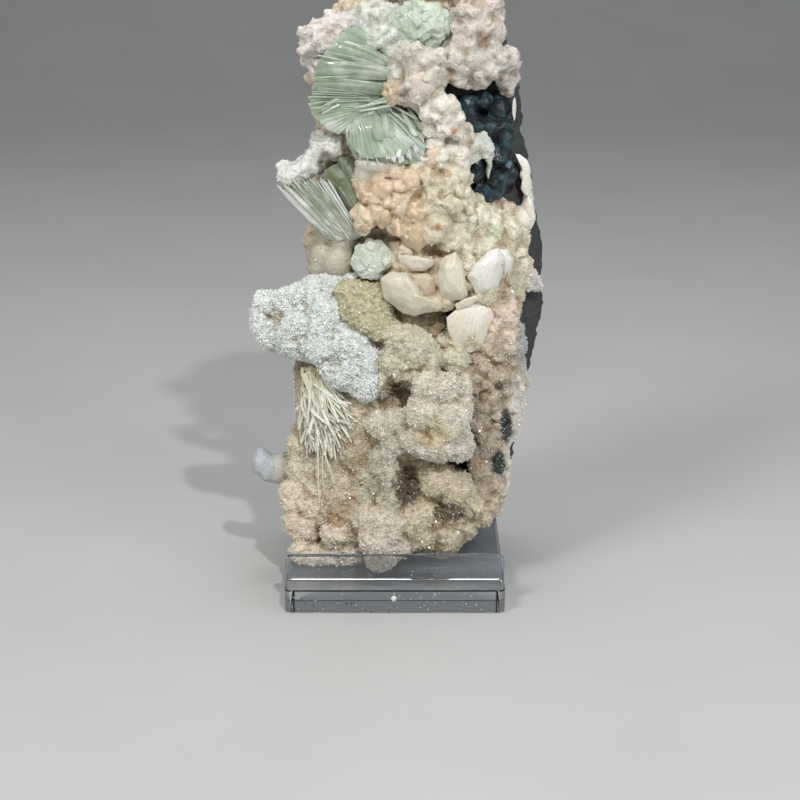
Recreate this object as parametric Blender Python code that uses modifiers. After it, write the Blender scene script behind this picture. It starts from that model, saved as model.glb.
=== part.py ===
"""Apophyllite and stilbite crystals on basalt, standing on a clear acrylic stand.

Lists are in millimetres. The specimen is laid out as an eye in front of the stand sees it:
across (to the right), up (in the picture plane) and depth (behind the stand's front edge).
seen() turns such a place into the part's own frame: +X right, +Y to the back, +Z up,
origin at the centre of the stand's underside.
"""

import math

import bmesh
import bpy
from mathutils import Matrix, Vector, noise

MM = 0.001

# Gap between the stand's plates, and how far a neighbour stands off in a cut
GAP = 0.3
CLEARANCE = 0.6

# Faces that meet flatter than this become one
FLAT_ANGLE = math.radians(0.5)

# Stand
STAND_WIDTH = 100.0
STAND_DEPTH = 101.0
BASE_HEIGHT = 11.0
LIP_SETBACK = 11.0
LIP_THICKNESS = 3.0
LIP_TOP = 23.5
BACK_THICKNESS = 4.0
BACK_TOP = 125.0
CORNER_RADIUS = 2.5
EDGE_BEVEL = 0.5

# Eye that the layout is read from
EYE_TILT = math.radians(18.0)
EYE_DISTANCE = 885.0
EYE_ACROSS = 2.3
EYE_UP = 96.8

# Rock
ROCK_MIDDLE = 70.0
ROCK_RING = 16
ROCK_SQUARENESS = 0.62
ROCK_GRAIN = 14.0
ROCK_ROUGHNESS = 1.6
ROCK_VOXEL = 3.0
ROCK_FACES_KEPT = 0.036
ROCK_FOOT = BASE_HEIGHT + GAP
ROCK_BACK = STAND_DEPTH - BACK_THICKNESS - GAP
SAWN_START = 22.0
SAWN_SLOPE = math.radians(36.0)
SAW_BOX = (200.0, 200.0, 80.0)
SAW_REACH = 60.0

# Each row: up, left, right, front depth, back depth
ROCK_SECTIONS = (
    (24, -40, 48, 46, 100),
    (45, -43, 49, 46, 99),
    (70, -41, 52, 50, 98),
    (95, -40, 57.5, 52, 97),
    (118, -40, 62, 52, 96),
    (140, -38, 66, 52, 95),
    (160, -34, 67, 52, 94),
    (180, -30, 64, 53, 93),
    (200, -28, 60, 52, 92),
    (220, -26, 57, 52, 91),
    (242, -32, 56.5, 54, 90),
    (262, -30, 50, 58, 88),
    (280, -10, 42, 62, 84),
)

# Broken surface of the crusts
CRUST_GRAIN = 5.0
CRUST_ROUGHNESS = 0.9
CRUST_VOXEL = 1.8
CRUST_FACES_KEPT = 0.025
WING_VOXEL = 1.6
WING_FACES_KEPT = 0.05

# Lumps, each row: across, up, depth, half width, half height, half depth, roll in degrees
CRUST_LUMPS = (
    # Bed over the rock
    (8, 262, 56, 38, 20, 9, 0),
    (-6, 226, 54, 26, 22, 8, 0),
    (12, 204, 52, 20, 26, 8, 0),
    (18, 166, 48, 34, 24, 9, 0),
    (46, 172, 51, 13, 18, 6, 0),
    (42, 140, 48, 16, 26, 9, 0),
    (46, 108, 48, 13, 26, 8, 0),
    (44, 72, 47, 8, 30, 8, 0),
    # Lobe at the upper left
    (-35, 260, 46, 8, 8, 9, 15),
    (-39, 253, 48, 4, 6, 7, 0),
    (-35, 249, 48, 5, 6, 7, 0),
    (-29, 266, 46, 7, 6, 8, 30),
    (-24, 269, 50, 8, 6, 9, 30),
    # Top
    (-13, 277, 54, 10, 8, 12, 40),
    (-4, 286, 58, 9, 7, 12, 0),
    (8, 289, 62, 11, 6, 13, 0),
    (22, 288, 60, 10, 7, 13, 0),
    (35, 281, 55, 10, 9, 12, -10),
    (44, 272, 56, 7, 11, 12, 0),
    (36, 270, 48, 8, 8, 9, 0),
    (43, 261, 50, 8, 7, 9, 0),
    (32, 260, 44, 7, 7, 7, 0),
    # White lumps above the dark window
    (27, 252, 43, 7, 6, 8, 0),
    (36, 251, 43, 7, 6, 8, -20),
    (44, 250, 46, 8, 7, 9, 0),
    (50, 250, 52, 6, 7, 9, 0),
    (50, 242, 52, 5, 5, 8, 0),
    (30, 244, 44, 5, 5, 7, 20),
    (37, 243, 46, 5, 5, 6, -20),
    # Peach cone below the top rosette
    (12, 252, 37, 10, 6, 9, 0),
    (12, 246, 35, 8.5, 7, 8, 0),
    (11, 240, 34, 7, 7, 7, 0),
    (10, 234, 34, 5.5, 5, 6, 0),
    (19, 244, 40, 6, 7, 7, 25),
    # White sheaves to the right of the fans
    (20, 229, 38, 10, 7, 9, 0),
    (24, 222, 38, 8, 6, 9, 0),
    (14, 232, 40, 5, 5, 6, 0),
    (30, 224, 46, 5, 8, 7, 0),
    (19, 211, 43, 8, 9, 8, 0),
    (13, 206, 42, 5, 6, 7, -30),
    (24, 214, 44, 6, 4, 7, 0),
    (28, 207, 42, 6, 6, 7, 0),
    (31, 214, 47, 6, 8, 6, 0),
    (36, 217, 50, 3.5, 8, 5, 25),
    # White rim to the right of the lower dark window
    (55, 202, 53, 4, 9, 7, 0),
    (57, 192, 53, 4, 8, 7, 0),
    (56, 182, 52, 4, 7, 7, 0),
    # Peach knobs
    (-10, 203, 38, 9, 5, 8, -12),
    (-15, 196, 40, 6, 7, 7, 0),
    (-5, 196, 37, 6, 5, 7, 0),
    (1, 199, 38, 6, 7, 7, 0),
    (7, 196, 38, 6, 7, 7, 0),
    (-9, 190, 38, 6, 8, 7, 0),
    (-7, 182, 36, 4.5, 6, 6, 0),
    (-2, 189, 34, 4.5, 4.5, 5, 0),
    (-1, 178, 35, 4.5, 6, 6, 0),
    (4, 185, 34, 4.5, 6, 6, 0),
    (3, 175, 34, 4, 5, 6, 0),
    (9, 180, 33, 5, 7, 7, 0),
    (8, 171, 34, 5, 6, 6, 0),
    (-15, 179, 36, 4.5, 8, 5, 0),
    # Cream lumps right of the knobs
    (16, 193, 37, 8, 7, 8, 0),
    (24, 194, 39, 8, 6, 8, 0),
    (28, 200, 42, 6, 6, 7, 0),
    (20, 185, 36, 9, 7, 8, 0),
    (19, 176, 35, 7, 8, 8, 0),
    (30, 188, 41, 7, 8, 7, 0),
    # Granular rind at the right
    (34, 180, 42, 8, 9, 8, 0),
    (42, 176, 44, 9, 8, 8, 0),
    (50, 172, 47, 8, 9, 8, 0),
    (54, 164, 49, 6, 11, 8, 0),
    (28, 170, 40, 8, 8, 8, 0),
    (38, 167, 42, 9, 7, 8, 0),
    (48, 163, 46, 8, 7, 8, 0),
    (32, 161, 40, 6, 6, 7, 0),
    (55, 154, 50, 6, 8, 8, -20),
    (51, 146, 48, 4, 8, 8, 0),
    (50, 134, 47, 4, 9, 8, 0),
    # Leaf, teeth and horn
    (9, 160.5, 32, 10, 4, 6, 6),
    (5, 165, 36, 5, 3, 5, 0),
    (26, 151, 32, 7, 11, 8, 4),
    (27, 160, 34, 4, 7, 5, 0),
    (42, 154, 34, 9, 11, 9, -20),
    (35, 151, 35, 5, 6, 7, 0),
    (48, 160, 38, 5, 8, 8, 0),
    (41, 146, 35, 7, 5, 7, 0),
    (4, 147, 30, 10, 8, 9, 20),
    (14, 142, 28, 8, 4.5, 6, 12),
    (14, 150, 38, 7, 6, 8, 0),
    (33, 131, 31, 10, 10, 9, -30),
    (38, 124, 33, 8, 7, 8, 0),
    (27, 126, 35, 6, 6, 7, 0),
    (32, 142, 32, 8, 3, 5, -18),
    (46, 128, 39, 6, 6, 7, 0),
    # Pink granular side at the lower right
    (47, 119, 40, 8, 7, 8, 0),
    (40, 115, 40, 7, 8, 8, 0),
    (36, 108, 40, 6, 7, 8, 0),
    (46, 108, 41, 9, 8, 9, 0),
    (55, 104, 48, 5, 10, 9, 0),
    (54, 92, 48, 4.5, 10, 9, 0),
    (43, 97, 40, 8, 8, 9, 0),
    (39, 87, 41, 7, 8, 9, 0),
    (46, 86, 43, 5, 8, 8, 0),
    (42, 76, 41, 7, 8, 9, 0),
    (37, 72, 42, 6, 7, 9, 0),
    (40, 66, 41, 7, 7, 9, 0),
    (41, 58, 41, 7, 6, 9, 0),
    (42, 50, 42, 5, 6, 9, 0),
    # Blocks beside the left fan
    (-30, 213, 52, 7, 6, 9, 0),
    (-38, 207, 48, 6, 4, 8, 20),
    (-44, 202, 42, 7, 5, 8, 10),
    (-48, 199, 42, 4, 4, 6, 0),
    # Cream lumps above the drusy wing
    (-31, 171, 52, 5, 7, 9, 0),
    (-32, 163, 50, 7, 7, 9, 0),
    (-37, 157, 50, 6, 5, 8, 0),
    (-26, 160, 46, 8, 8, 9, 0),
    (-24, 170, 48, 7, 7, 9, 0),
    # Left side, turning to the back
    (-28, 226, 64, 7, 18, 12, 0),
    (-30, 196, 66, 7, 18, 12, 0),
    (-30, 250, 62, 10, 14, 12, 0),
    (-16, 270, 66, 12, 10, 12, 0),
    (-32, 168, 66, 8, 16, 12, 0),
)

DRUSE_LUMPS = (
    # Bed over the rock
    (0, 124, 44, 26, 24, 10, 0),
    (-4, 90, 44, 36, 30, 12, 0),
    (-4, 52, 42, 42, 24, 14, 0),
    (-22, 30, 44, 22, 10, 16, 0),
    (14, 38, 44, 22, 12, 14, -25),
    # Yellow-green shoulder
    (-14, 140, 37, 12, 12, 11, 0),
    (-8, 132, 36, 8, 9, 10, 0),
    (-20, 147, 42, 10, 6, 10, 0),
    # Upper mushroom lump
    (3, 125, 31, 8, 7, 8, 0),
    (9, 121, 29, 9, 9, 9, 0),
    (15, 116, 31, 7, 7, 8, 0),
    (0, 114, 31, 8, 8, 9, 0),
    (10, 108, 33, 9, 7, 9, 0),
    (-5, 105, 34, 5, 7, 8, 0),
    (28, 116, 38, 8, 9, 9, 0),
    # Large lump
    (14, 104, 24, 7, 7, 9, 20),
    (22, 103, 24, 8, 7, 9, 0),
    (32, 102, 28, 3.5, 7, 6, 0),
    (30, 93, 27, 6, 8, 9, 0),
    (14, 92, 23, 10, 9, 10, 0),
    (24, 88, 24, 11, 11, 11, 0),
    (10, 80, 25, 8, 9, 10, 0),
    (18, 76, 24, 12, 8, 11, 0),
    (29, 77, 27, 7, 9, 9, 0),
    (-7, 85, 30, 6, 8, 8, 35),
    (0, 88, 28, 6, 6, 8, 0),
    (-1, 78, 31, 6, 8, 8, 0),
    # Ridge between the caves
    (-6, 70, 33, 7, 8, 9, 0),
    (-2, 62, 31, 6, 8, 9, 0),
    (-2, 54, 30, 6, 8, 9, 0),
    (-12, 62, 36, 7, 9, 9, 0),
    (-12, 52, 34, 7, 7, 8, 0),
    # Rounded cone that dips behind the lip
    (-13, 42, 28, 6, 8, 9, 30),
    (-5, 40, 25, 9, 9, 10, 0),
    (-8, 32, 22, 9, 8, 8, 0),
    (-6, 25, 21, 8, 6.5, 6.5, 0),
    (2, 30, 26, 6, 6, 8, 0),
    # Lumps at the lower right
    (8, 42, 28, 6, 8, 8, 0),
    (14, 45, 30, 5, 7, 8, 0),
    (12, 34, 30, 7, 6, 8, 0),
    (20, 60, 32, 9, 8, 10, 0),
    (28, 57, 33, 9, 9, 10, 0),
    (34, 50, 36, 8, 8, 10, 0),
    (40, 45, 39, 6, 6, 9, 0),
    (22, 36, 35, 9, 5, 8, -30),
    (30, 40, 38, 9, 4.5, 8, -30),
    (26, 48, 37, 8, 8, 9, 0),
    # Lower left lobes
    (-27, 36, 29, 7, 7, 8, 0),
    (-46, 53, 42, 7, 9, 10, 0),
    (-47, 43, 41, 5, 9, 9, 0),
    (-41, 40, 39, 8, 8, 9, 0),
    (-37, 49, 40, 7, 8, 9, 0),
    (-43, 28, 37, 6, 6, 9, 0),
    (-36, 27, 35, 6, 6, 8, 0),
    (-29, 26, 33, 6, 5, 7, 0),
    (-20, 28, 32, 7, 6, 8, 0),
    (-18, 36, 34, 6, 6, 8, 0),
    # Left flank behind the needles
    (-42, 76, 48, 8, 6, 10, 0),
    (-43, 66, 46, 7, 8, 10, 0),
    (-32, 68, 44, 9, 9, 10, 0),
    (-33, 57, 42, 9, 8, 10, 0),
    (-24, 62, 42, 9, 9, 10, 0),
    (-23, 74, 44, 9, 9, 10, 0),
    (-22, 48, 38, 8, 8, 9, 0),
    (-18, 91, 40, 7, 9, 8, 0),
    (-37, 94, 54, 9, 14, 10, 0),
    (-28, 90, 52, 10, 14, 10, 0),
    # Finger at the left
    (-44, 69, 56, 6, 6, 8, 0),
    (-50, 68, 56, 6, 5, 6, 0),
    (-56, 67, 55, 6.5, 6, 6, 10),
    (-61, 66, 54, 5, 7, 6, 10),
    # Left side, turning to the back
    (-38, 45, 62, 10, 16, 14, 0),
    (-40, 75, 64, 9, 16, 13, 0),
    (-38, 105, 62, 9, 18, 12, 0),
    (-36, 135, 64, 8, 16, 12, 0),
)

WING_LUMPS = (
    (-61, 132, 50, 5, 7, 10, 0),
    (-58, 141, 50, 6, 6, 10, 0),
    (-56, 127, 49, 8, 8, 11, 0),
    (-49, 140, 49, 8, 8, 11, 0),
    (-46, 124, 46, 10, 8, 12, -30),
    (-43, 143, 48, 6, 7, 10, 0),
    (-43, 132, 45, 11, 10, 13, 0),
    (-36, 145, 46, 8, 9, 11, 0),
    (-28, 149, 46, 8, 7, 10, 0),
    (-21, 152, 46, 6, 4, 8, 0),
    (-31, 134, 42, 11, 13, 13, 0),
    (-33, 121, 41, 11, 9, 13, -20),
    (-22, 124, 38, 11, 11, 12, 0),
    (-23, 111, 38, 11, 9, 12, -30),
    (-13, 115, 36, 8, 9, 11, 0),
    (-13, 104, 36, 8, 8, 11, 0),
    (-30, 128, 54, 14, 12, 8, 0),
)

# Blades of clear crystal, each row: across, up, depth of the root, the same of the tip,
# width, thickness
TOP_ROSETTE = (
    (12, 260, 48, -2, 266, 37, 11, 8),
    (12, 261, 48, -2, 273, 37, 11, 8),
    (12, 262, 48, 3, 280, 38, 11, 8),
    (12, 262, 48, 11, 284, 38, 12, 8),
    (12, 262, 48, 20, 282, 38, 11, 8),
    (12, 262, 48, 27, 277, 39, 11, 8),
    (12, 261, 48, 30, 270, 39, 11, 8),
    (12, 260, 48, 29, 262, 40, 10, 8),
    (12, 262, 48, 6, 270, 29, 14, 10),
    (12, 262, 48, 15, 274, 28, 14, 10),
    (12, 262, 48, 22, 269, 29, 14, 10),
    (12, 260, 48, 4, 261, 33, 12, 8),
    (12, 260, 48, 18, 260, 33, 13, 8),
)

GREAT_FAN = (
    # Upper shells, curving down to the left
    (2, 248, 48, -30, 258, 37, 12, 12),
    (2, 250, 48, -22, 264, 38, 12, 12),
    (2, 250, 48, -11, 265, 39, 13, 12),
    (3, 247, 46, -34, 251, 34, 11, 12),
    (3, 245, 45, -35, 246, 32, 9, 12),
    (2, 243, 44, -28, 243, 29, 8, 12),
    (3, 252, 46, -4, 258, 36, 12, 10),
    # Middle plates, striated across
    (-4, 240, 47, -39, 239, 36, 9, 14),
    (-5, 236, 46, -38, 231, 34, 10, 14),
    (-6, 233, 46, -35, 223, 36, 10, 13),
    (0, 238, 46, -24, 232, 30, 11, 12),
    (-2, 234, 46, -22, 224, 31, 11, 12),
    (-10, 226, 46, 2, 234, 33, 7, 10),
    # Lower fan, opening down and to the right
    (-16, 232, 48, -18, 216, 34, 14, 12),
    (-14, 232, 48, -13, 205, 33, 13, 12),
    (-10, 232, 48, -3, 206, 30, 14, 12),
    (-8, 232, 48, 5, 210, 31, 13, 12),
    (-8, 232, 48, 10, 214, 34, 11, 11),
    (-8, 230, 46, -7, 214, 27, 13, 10),
)

LEFT_FAN = (
    (-27, 168, 42, -52, 194, 38, 8, 14),
    (-22, 170, 41, -50, 198, 37, 9, 14),
    (-18, 173, 41, -46, 200, 36, 9, 13),
    (-16, 177, 42, -41, 201, 38, 9, 12),
    (-16, 182, 44, -36, 202, 42, 10, 12),
    (-14, 186, 48, -28, 206, 46, 12, 12),
    (-13, 188, 48, -18, 208, 46, 12, 12),
    (-12, 192, 48, -12, 205, 47, 9, 10),
)

# Solid middles that the blades grow from, rows as for the lumps
ROSETTE_CORE = (12, 266, 47, 13, 12, 14)
GREAT_FAN_CORE = (-6, 238, 48, 19, 20, 14)
LEFT_FAN_CORE = (-22, 184, 48, 12, 12, 11)

# Small blocky crystals, each row: across, up, depth, side, roll in degrees
SMALL_CLUSTER = (
    (-10, 162, 37, 17, 10),
    (-17, 160, 37, 12, 35),
    (-16, 167, 38, 10, 20),
    (-5, 167, 36, 12, 60),
    (-3, 159, 35, 12, 15),
    (-10, 155, 34, 13, 45),
    (-10, 164, 31, 11, 70),
    (-5, 162, 32, 10, 30),
    (-18, 154, 37, 9, 5),
)

# Needles, each row: across, up, depth of the tip
NEEDLE_ROOT = (-38, 111, 44)
NEEDLE_KNOB = (-36.5, 106, 43, 6, 8, 5.5)
NEEDLE_WIDTH = 7.0
THREAD_WIDTH = 1.6
NEEDLE_TIPS = (
    (-43, 88, 44),
    (-42, 79, 43),
    (-38, 75, 40),
    (-34, 77, 36),
    (-30, 73, 38),
    (-27, 79, 34),
    (-23, 76, 38),
    (-20, 82, 35),
    (-17, 88, 35),
    (-20, 95, 36),
    (-31, 86, 32),
    (-25, 88, 32),
    (-37, 84, 36),
)
NEEDLE_THREADS = (
    (-33, 82, 37, -32.5, 49, 31),
    (-31, 82, 37, -30, 60, 31.5),
)


def clear_scene():
    for thing in list(bpy.data.objects):
        bpy.data.objects.remove(thing, do_unlink=True)


def new_collection(name):
    collection = bpy.data.collections.new(name)
    bpy.context.scene.collection.children.link(collection)
    return collection


def new_material(name, colour, roughness, transmission=0.0, ior=1.5):
    material = bpy.data.materials.new(name)
    material.use_nodes = True
    shader = material.node_tree.nodes["Principled BSDF"]
    shader.inputs["Base Color"].default_value = (*colour, 1.0)
    shader.inputs["Roughness"].default_value = roughness
    shader.inputs["Metallic"].default_value = 0.0
    shader.inputs["Transmission Weight"].default_value = transmission
    shader.inputs["IOR"].default_value = ior
    return material


def seen(across, up, depth):
    """The place, in metres, that lies this deep behind what the eye sees at (across, up)."""
    rise = Vector((0.0, math.sin(EYE_TILT), math.cos(EYE_TILT)))
    look = Vector((0.0, math.cos(EYE_TILT), -math.sin(EYE_TILT)))
    front = Vector((0.0, -STAND_DEPTH / 2, 0.0))
    eye = front + Vector((EYE_ACROSS, 0.0, 0.0)) + EYE_UP * rise - EYE_DISTANCE * look
    spot = front + Vector((across, 0.0, 0.0)) + up * rise
    reach = (depth - STAND_DEPTH / 2 - eye.y) / (spot.y - eye.y)
    return (eye + (spot - eye) * reach) * MM


def mesh_object(name, bm, collection, material=None):
    mesh = bpy.data.meshes.new(name)
    bm.to_mesh(mesh)
    bm.free()
    made = bpy.data.objects.new(name, mesh)
    if material:
        mesh.materials.append(material)
    collection.objects.link(made)
    return made


def bake(thing):
    """Applies an object's modifiers."""
    graph = bpy.context.evaluated_depsgraph_get()
    mesh = bpy.data.meshes.new_from_object(thing.evaluated_get(graph))
    thing.modifiers.clear()
    thing.data = mesh


def remove(thing):
    bpy.data.objects.remove(thing, do_unlink=True)


def add_lump(bm, grow, across, up, depth, wide, high, deep, roll=0, fineness=3):
    ball = bmesh.ops.create_icosphere(bm, subdivisions=fineness, radius=MM)
    place = (
        Matrix.Translation(seen(across, up, depth))
        @ Matrix.Rotation(-EYE_TILT, 4, "X")
        @ Matrix.Rotation(math.radians(-roll), 4, "Y")
        @ Matrix.Diagonal((wide + grow, deep + grow, high + grow, 1.0))
    )
    bmesh.ops.transform(bm, matrix=place, verts=ball["verts"])


def add_core(bm, grow, *row):
    """The faceted middle of a crystal group."""
    add_lump(bm, grow, *row, roll=0, fineness=2)


def add_blade(bm, grow, *row):
    """A six-sided blade from root to tip, widest near its bevelled end."""
    start = seen(*row[0:3])
    end = seen(*row[3:6])
    width, thickness = row[6:8]
    along = (end - start).normalized()
    look = Vector((0.0, math.cos(EYE_TILT), -math.sin(EYE_TILT)))
    side = along.cross(look).normalized()
    face = along.cross(side)
    start -= along * (grow * MM)
    length = (end - start).length + grow * MM
    half_width = (width / 2 + grow) * MM
    half_thickness = (thickness / 2 + grow) * MM
    corners = []
    for share, scale in ((0.0, 0.7), (0.72, 1.0), (1.0, 0.62)):
        middle = start + along * (length * share)
        for turn in range(6):
            angle = math.radians(60 * turn)
            across = side * (half_width * scale * math.cos(angle))
            through = face * (half_thickness * scale * math.sin(angle))
            corners.append(bm.verts.new(middle + across + through))
    bmesh.ops.convex_hull(bm, input=corners)


def add_block(bm, grow, across, up, depth, side, roll):
    """A cube with one corner turned to the eye."""
    block = bmesh.ops.create_cube(bm, size=(side + 2 * grow) * MM)
    place = (
        Matrix.Translation(seen(across, up, depth))
        @ Matrix.Rotation(math.radians(roll), 4, "Y")
        @ Matrix.Rotation(math.radians(32), 4, "X")
        @ Matrix.Rotation(math.radians(40), 4, "Z")
    )
    bmesh.ops.transform(bm, matrix=place, verts=block["verts"])


def add_needle(bm, grow, *row):
    """A straight spine that narrows to its tip."""
    start = seen(*row[0:3])
    end = seen(*row[3:6])
    width = row[6]
    spine = bmesh.ops.create_cone(
        bm,
        cap_ends=True,
        segments=4,
        radius1=(width / 2 + grow) * MM,
        radius2=(width / 5 + grow) * MM,
        depth=(end - start).length + 2 * grow * MM,
    )
    turn = (end - start).to_track_quat("Z", "Y").to_matrix().to_4x4()
    place = Matrix.Translation((start + end) / 2) @ turn
    bmesh.ops.transform(bm, matrix=place, verts=spine["verts"])


def joined(name, collection, material, shapes, grow):
    """One solid from several closed shapes, each given as its adder and its row."""
    others = bpy.data.collections.new(name + "_pieces")
    pieces = []
    for adder, row in shapes:
        bm = bmesh.new()
        adder(bm, grow, *row)
        bmesh.ops.recalc_face_normals(bm, faces=bm.faces)
        pieces.append(mesh_object(name, bm, others))
    bpy.context.scene.collection.children.link(others)
    first = pieces[0]
    first.name = name
    others.objects.unlink(first)
    collection.objects.link(first)
    first.data.materials.append(material)
    union = first.modifiers.new("join", "BOOLEAN")
    union.operation = "UNION"
    union.operand_type = "COLLECTION"
    union.collection = others
    bake(first)
    for piece in pieces[1:]:
        remove(piece)
    bpy.data.collections.remove(others)
    return first


def roughen(mesh, scale, amount, seed):
    """Moves each point along its normal by layered noise."""
    offset = Vector((seed * 7.3, seed * 3.1, seed * 5.7))
    moves = []
    for vert in mesh.vertices:
        spot = vert.co / (scale * MM) + offset
        moves.append(vert.normal * noise.turbulence(spot, 2, True) * amount * MM)
    for vert, move in zip(mesh.vertices, moves):
        vert.co += move


def fuse(body, voxel):
    """Overlapping shapes become one skin of even faces."""
    remesh = body.modifiers.new("even faces", "REMESH")
    remesh.mode = "VOXEL"
    remesh.voxel_size = voxel * MM
    bake(body)


def facet(body, faces_kept):
    fewer = body.modifiers.new("facets", "DECIMATE")
    fewer.ratio = faces_kept
    bake(body)


def lumpy_body(name, collection, material, lumps, voxel, faces_kept, seed):
    """One crust from overlapping lumps, with a broken surface and flat facets."""
    bm = bmesh.new()
    for row in lumps:
        add_lump(bm, 0.0, *row)
    body = mesh_object(name, bm, collection, material)
    fuse(body, voxel)
    roughen(body.data, CRUST_GRAIN, CRUST_ROUGHNESS, seed)
    facet(body, faces_kept)
    return body


def fuller_copy(thing, cutters):
    """A copy that stands out a little, to cut its neighbours with."""
    copy = bpy.data.objects.new(thing.name + "_clearance", thing.data.copy())
    cutters.objects.link(copy)
    swell = copy.modifiers.new("gap", "DISPLACE")
    swell.strength = CLEARANCE * MM
    swell.mid_level = 0.0
    bake(copy)
    hide(copy)
    return copy


def hide(cutter):
    cutter.hide_render = True
    cutter.display_type = "WIRE"


def cut_away(body, cutter):
    cut = body.modifiers.new("cut", "BOOLEAN")
    cut.operation = "DIFFERENCE"
    cut.solver = "MANIFOLD"
    cut.object = cutter
    bake(body)


def islands(bm):
    """The mesh's separate groups of points, the smallest first."""
    left = set(bm.verts)
    groups = []
    while left:
        first = left.pop()
        group = {first}
        queue = [first]
        while queue:
            for edge in queue.pop().link_edges:
                fresh = left.intersection(edge.verts)
                left -= fresh
                group |= fresh
                queue.extend(fresh)
        groups.append(group)
    return sorted(groups, key=len)


def fit(body, clearances):
    """Cuts a body back to its neighbours and drops the crumbs that this leaves."""
    for clearance in clearances:
        cut_away(body, clearance)
    bm = bmesh.new()
    bm.from_mesh(body.data)
    for crumb in islands(bm)[:-1]:
        bmesh.ops.delete(bm, geom=list(crumb), context="VERTS")
    bmesh.ops.dissolve_limit(
        bm, angle_limit=FLAT_ANGLE, use_dissolve_boundaries=False, verts=bm.verts, edges=bm.edges
    )
    bmesh.ops.triangulate(bm, faces=bm.faces)
    bm.to_mesh(body.data)
    bm.free()
    body.data.update()


def plate(name, collection, material, size, centre, axis):
    """A plate with four rounded corners about the given axis, and polished edges."""
    bm = bmesh.new()
    cube = bmesh.ops.create_cube(bm, size=1.0)
    place = Matrix.Translation(Vector(centre) * MM) @ Matrix.Diagonal(
        (size[0] * MM, size[1] * MM, size[2] * MM, 1.0)
    )
    bmesh.ops.transform(bm, matrix=place, verts=cube["verts"])
    corners = [
        edge
        for edge in bm.edges
        if abs((edge.verts[0].co - edge.verts[1].co).normalized()[axis]) > 0.9
    ]
    bmesh.ops.bevel(
        bm, geom=corners, offset=CORNER_RADIUS * MM, segments=4, profile=0.5, affect="EDGES"
    )
    made = mesh_object(name, bm, collection, material)
    edges = made.modifiers.new("polished edges", "BEVEL")
    edges.width = EDGE_BEVEL * MM
    edges.segments = 1
    edges.limit_method = "ANGLE"
    edges.angle_limit = math.radians(40)
    return made


def rock(collection, material):
    """The basalt plate: a loft through its sections, broken rough, sawn off at the foot."""
    bm = bmesh.new()
    rings = []
    for up, left, right, front, back in ROCK_SECTIONS:
        level = seen(0, up, ROCK_MIDDLE).z
        left_edge = seen(left, up, ROCK_MIDDLE).x
        right_edge = seen(right, up, ROCK_MIDDLE).x
        middle_x = (left_edge + right_edge) / 2
        middle_y = ((front + back) / 2 - STAND_DEPTH / 2) * MM
        half_x = (right_edge - left_edge) / 2
        half_y = (back - front) / 2 * MM
        ring = []
        for step in range(ROCK_RING):
            angle = 2 * math.pi * step / ROCK_RING
            x_share = math.copysign(abs(math.cos(angle)) ** ROCK_SQUARENESS, math.cos(angle))
            y_share = math.copysign(abs(math.sin(angle)) ** ROCK_SQUARENESS, math.sin(angle))
            ring.append(
                bm.verts.new((middle_x + half_x * x_share, middle_y + half_y * y_share, level))
            )
        rings.append(ring)
    for lower, upper in zip(rings, rings[1:]):
        for step in range(ROCK_RING):
            after = (step + 1) % ROCK_RING
            bm.faces.new((lower[step], lower[after], upper[after], upper[step]))
    bm.faces.new(rings[0][::-1])
    bm.faces.new(rings[-1])
    body = mesh_object("basalt_matrix", bm, collection, material)
    fuse(body, ROCK_VOXEL)
    roughen(body.data, ROCK_GRAIN, ROCK_ROUGHNESS, 3)
    facet(body, ROCK_FACES_KEPT)
    return body


def saw_box(name, cutters, x, y, z, turn, size):
    bm = bmesh.new()
    box = bmesh.ops.create_cube(bm, size=1.0)
    place = (
        Matrix.Translation(Vector((x, y, z)) * MM)
        @ Matrix.Rotation(turn, 4, "Y")
        @ Matrix.Diagonal((size[0] * MM, size[1] * MM, size[2] * MM, 1.0))
    )
    bmesh.ops.transform(bm, matrix=place, verts=box["verts"])
    made = mesh_object(name, bm, cutters)
    hide(made)
    return made


def sawn_cutters(cutters):
    """Boxes whose faces are the sawn foot, the slanting foot at the right and the back."""
    half = SAW_BOX[2] / 2
    along = SAW_REACH * math.cos(SAWN_SLOPE)
    rise = SAW_REACH * math.sin(SAWN_SLOPE)
    return [
        saw_box("cut_foot", cutters, 0, 0, ROCK_FOOT - half, 0.0, SAW_BOX),
        saw_box(
            "cut_slant", cutters,
            SAWN_START + along + half * math.sin(SAWN_SLOPE), 0,
            ROCK_FOOT + rise - half * math.cos(SAWN_SLOPE), -SAWN_SLOPE, SAW_BOX,
        ),
        saw_box("cut_back", cutters, 0, ROCK_BACK - STAND_DEPTH / 2 + 50, 150, 0.0, (300, 100, 400)),
    ]


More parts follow.
